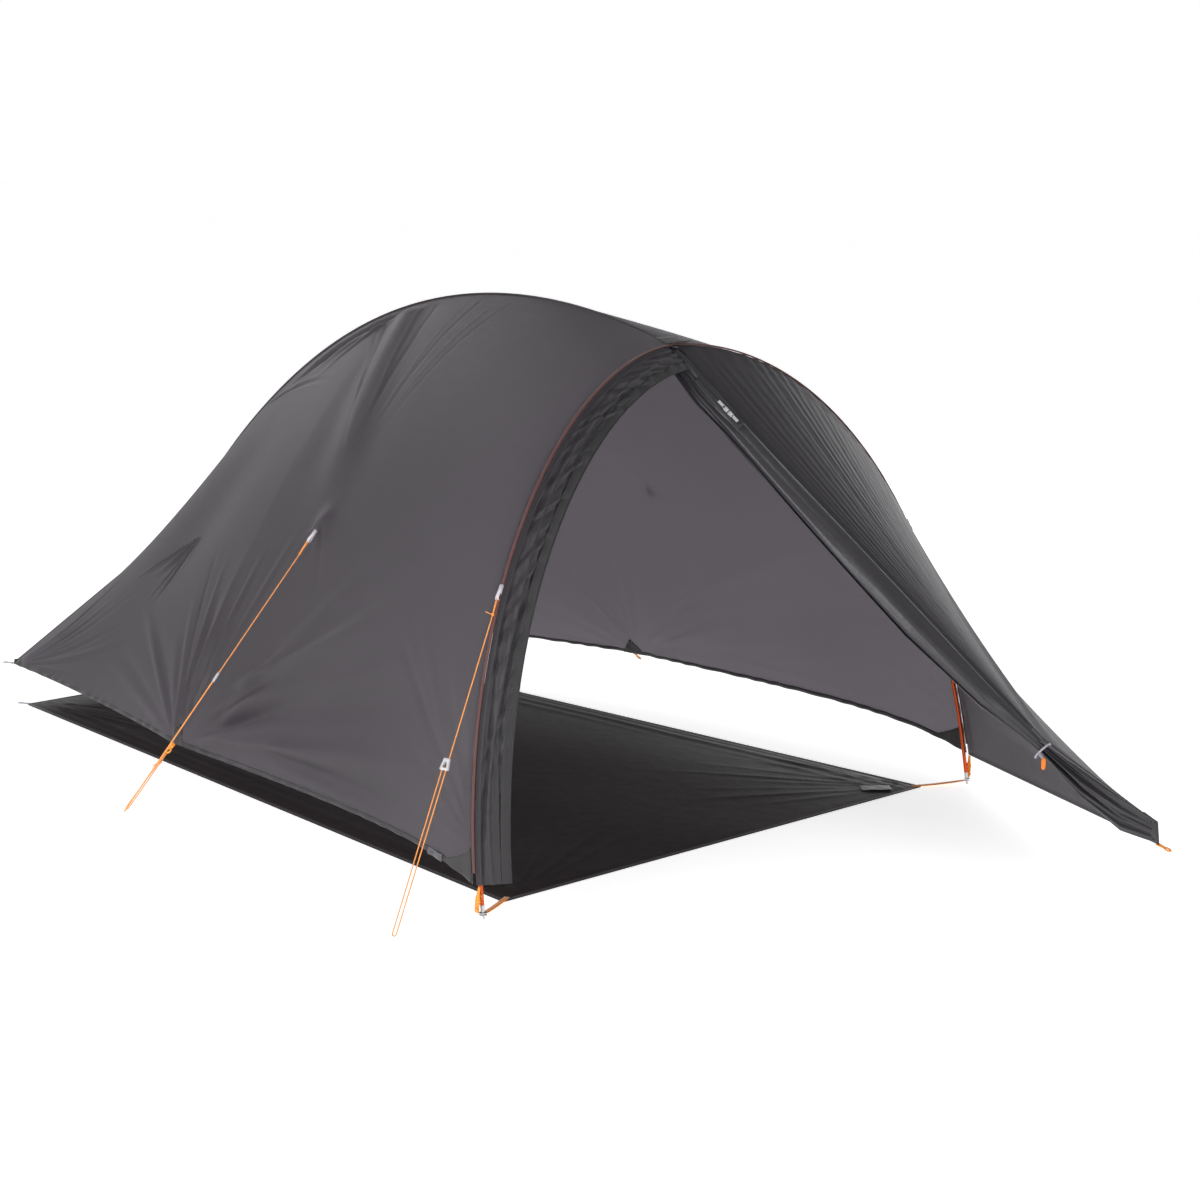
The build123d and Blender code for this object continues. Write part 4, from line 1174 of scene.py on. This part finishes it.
class StrapsOperator(bpy.types.Operator):
    """Makes the webbing straps at the pole feet, their adjusting pockets and every peg loop."""
    bl_idname = "tent.straps"
    bl_label = "Straps and peg loops"

    def execute(self, context):
        sizes = context.scene.tent_sizes
        for side, name in ((-1, "left"), (1, "right")):
            low, high = node_corners(f"front_{name}_fly_strap")
            outer = low[0] if side < 0 else high[0]
            inner = high[0] if side < 0 else low[0]
            y_top, y_foot = low[1] + 0.006, high[1] - 0.006
            top = np.array([inner, y_top, high[2]])
            foot = np.array([outer, y_foot, low[2]])
            t = column(0, 1, 14)
            line = top + (foot - top) * t + np.array([side, 0, 0]) * np.sin(t * math.pi) * 0.002
            width = np.interp(t[:, 0], [0, 0.25, 0.45, 1], [0.007, 0.008, sizes.strap, sizes.strap])
            strap = ribbon(line, np.array([0, 1.0, 0]), width, sizes.webbing)
            piece(f"front_{name}_fly_webbing", [strap], "webbing",
                  replaces=[f"front_{name}_fly_strap"], in_frame=True)
        low, high = node_corners("fly_strap_ladders")
        pockets = []
        for side in (-1, 1):
            foot_x = low[0] if side < 0 else high[0]
            top_x = foot_x - side * 0.012
            for k in range(4):
                share = (k + 0.5) / 4
                z = high[2] + (low[2] - high[2]) * share
                x = top_x + (foot_x - top_x) * share - side * 0.003
                y = (low[1] + high[1]) / 2 + (share - 0.5) * (high[1] - low[1] - 0.01)
                height = (high[2] - low[2]) / 4 * 0.42
                turn = np.linspace(-1, 1, 7)
                line = np.stack([x + side * 0.0045 * np.cos(turn * math.pi / 2), y + 0 * turn,
                                 z + turn * height], -1)
                pockets.append(ribbon(line, np.array([0, 1.0, 0]), 0.010, 0.0011))
        piece("strap_pockets", pockets, "webbing", replaces=["fly_strap_ladders"],
              in_frame=True)

        straps = []
        for side in (-1, 1):
            foot = np.array([side * FRONT_FOOT_X, 0.003, 0.010])
            corner = np.array([side * SHEET_FRONT[0], SHEET_FRONT[1], SHEET_STRAP_Z])
            t = column(0, 1, 12)
            way = unit(corner - foot)
            line = foot + way * 0.006 + (corner + way * 0.02 - foot - way * 0.006) * t
            line = line - UP * np.sin(t * math.pi) * 0.0015
            widths = np.interp(t[:, 0], [0, 0.2, 1], [0.010, 0.013, 0.013])
            straps.append(ribbon(line, np.cross(way, UP), widths, sizes.webbing))
        rear_y = node_corners("sheet_corner_straps")[1][1] + MIDDLE_Y
        t = column(0, 1, 8)
        rear_run = np.array([0, rear_y - SHEET_REAR[1] + 0.02, 0.0056])
        line = np.array([0, SHEET_REAR[1] - 0.02, SHEET_STRAP_Z]) + rear_run * t
        straps.append(ribbon(line, np.array([1.0, 0, 0]), 0.013, sizes.webbing))
        piece("sheet_corner_webbing", straps, "webbing", replaces=["sheet_corner_straps"])

        out = unit([0.45, 0.9, 0])
        side_u = (HEM_SIDE[1] - HEM_FRONT[1]) / (HEM_REAR[1] - HEM_FRONT[1])
        sheet_tabs, fly_tabs = [], []
        for side in (-1, 1):
            way = out * np.array([side, 1, 1])
            corner = np.array([side * SHEET_REAR[0], SHEET_REAR[1], 0.0025])
            sheet_tabs += loop_tab(corner + way * 0.002, way, 0.034, 0.016, TAB_THICKNESS)
            fly_corner = hem(1.0) * np.array([side, 1, 1])
            fly_tabs += loop_tab(fly_corner + way * 0.005, way, 0.030, 0.016, TAB_THICKNESS)
            start = hem(side_u) * np.array([side, 1, 1])
            down = unit([side * 0.72, -0.1, -0.68])
            name = "left" if side < 0 else "right"
            side_tab = loop_tab(start + down * 0.004, down, 0.026, 0.018, TAB_THICKNESS)
            piece(f"{name}_side_peg_loop", side_tab, "webbing",
                  replaces=[f"{name}_side_stake_tab"])
        piece("rear_sheet_peg_loops", sheet_tabs, "pale_webbing", replaces=["rear_sheet_tabs"])
        piece("rear_fly_peg_loops", fly_tabs, "pale_webbing", replaces=["rear_fly_tabs"])
        tip_way = unit([0.25, -0.9, -0.35])
        tip_start = TIP_BOTTOM + tip_way * 0.005
        piece("tip_peg_loop", loop_tab(tip_start, tip_way, 0.028, 0.016, TAB_THICKNESS), "webbing",
              replaces=["tip_stake_loop"])
        return {"FINISHED"}


class PolesOperator(bpy.types.Operator):
    """Finishes the poles, their tips, hub, ferrules, elastic and eyelets."""
    bl_idname = "tent.poles"
    bl_label = "Pole finishes"

    def execute(self, context):
        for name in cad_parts:
            if "_section_" in name:
                finish_node(name, "pole")
        for name in ("pole_ferrules", "pole_tips", "strap_eyelets"):
            finish_node(name, "bare")
        finish_node("pole_hub", "hub")
        finish_node("shock_cords", "elastic")
        return {"FINISHED"}


class TagOperator(bpy.types.Operator):
    """Makes the plain tag that hangs at the front of the left hem."""
    bl_idname = "tent.tag"
    bl_label = "Hem tag"

    def execute(self, context):
        low, high = node_corners("hem_tag")
        x = (low[0] + high[0]) / 2
        t = column(0, 1, 16)
        start = np.array([x, low[1], low[2] + 0.008])
        end = np.array([x, high[1], high[2] - 0.008])
        line = start + (end - start) * t + np.array([-0.0012, 0, 0]) * np.sin(t * 7)
        piece("hem_tag_tape", [ribbon(line, UP, 0.016, 0.0009)], "tag", replaces=["hem_tag"],
              in_frame=True)
        return {"FINISHED"}


OPERATORS = (
    StageOperator, GuylinesOperator, FlyBodyOperator, RearPanelOperator, PipingOperator,
    FixedPanelOperator, StripOperator, RolledDoorOperator, ZipOperator, GroundsheetOperator,
    StrapsOperator, PolesOperator, TagOperator,
)


class TentPanel(bpy.types.Panel):
    """Lists the tent's sizes, colours and makers."""
    bl_idname = "VIEW3D_PT_tent"
    bl_label = "Trekking Tent"
    bl_space_type = "VIEW_3D"
    bl_region_type = "UI"
    bl_category = "Tent"

    def draw(self, context):
        for group in (context.scene.tent_sizes, context.scene.tent_colours):
            box = self.layout.box()
            for name in group.__annotations__:
                box.prop(group, name)
        for maker in OPERATORS:
            self.layout.operator(maker.bl_idname)


CLASSES = (TentSizes, TentColours, *OPERATORS, TentPanel)


def register():
    for made in CLASSES:
        bpy.utils.register_class(made)
    bpy.types.Scene.tent_sizes = bpy.props.PointerProperty(type=TentSizes)
    bpy.types.Scene.tent_colours = bpy.props.PointerProperty(type=TentColours)


def unregister():
    del bpy.types.Scene.tent_colours
    del bpy.types.Scene.tent_sizes
    for made in reversed(CLASSES):
        bpy.utils.unregister_class(made)


def main():
    register()
    for maker in OPERATORS:
        group, name = maker.bl_idname.split(".")
        getattr(getattr(bpy.ops, group), name)()


if __name__ == "__main__":
    main()
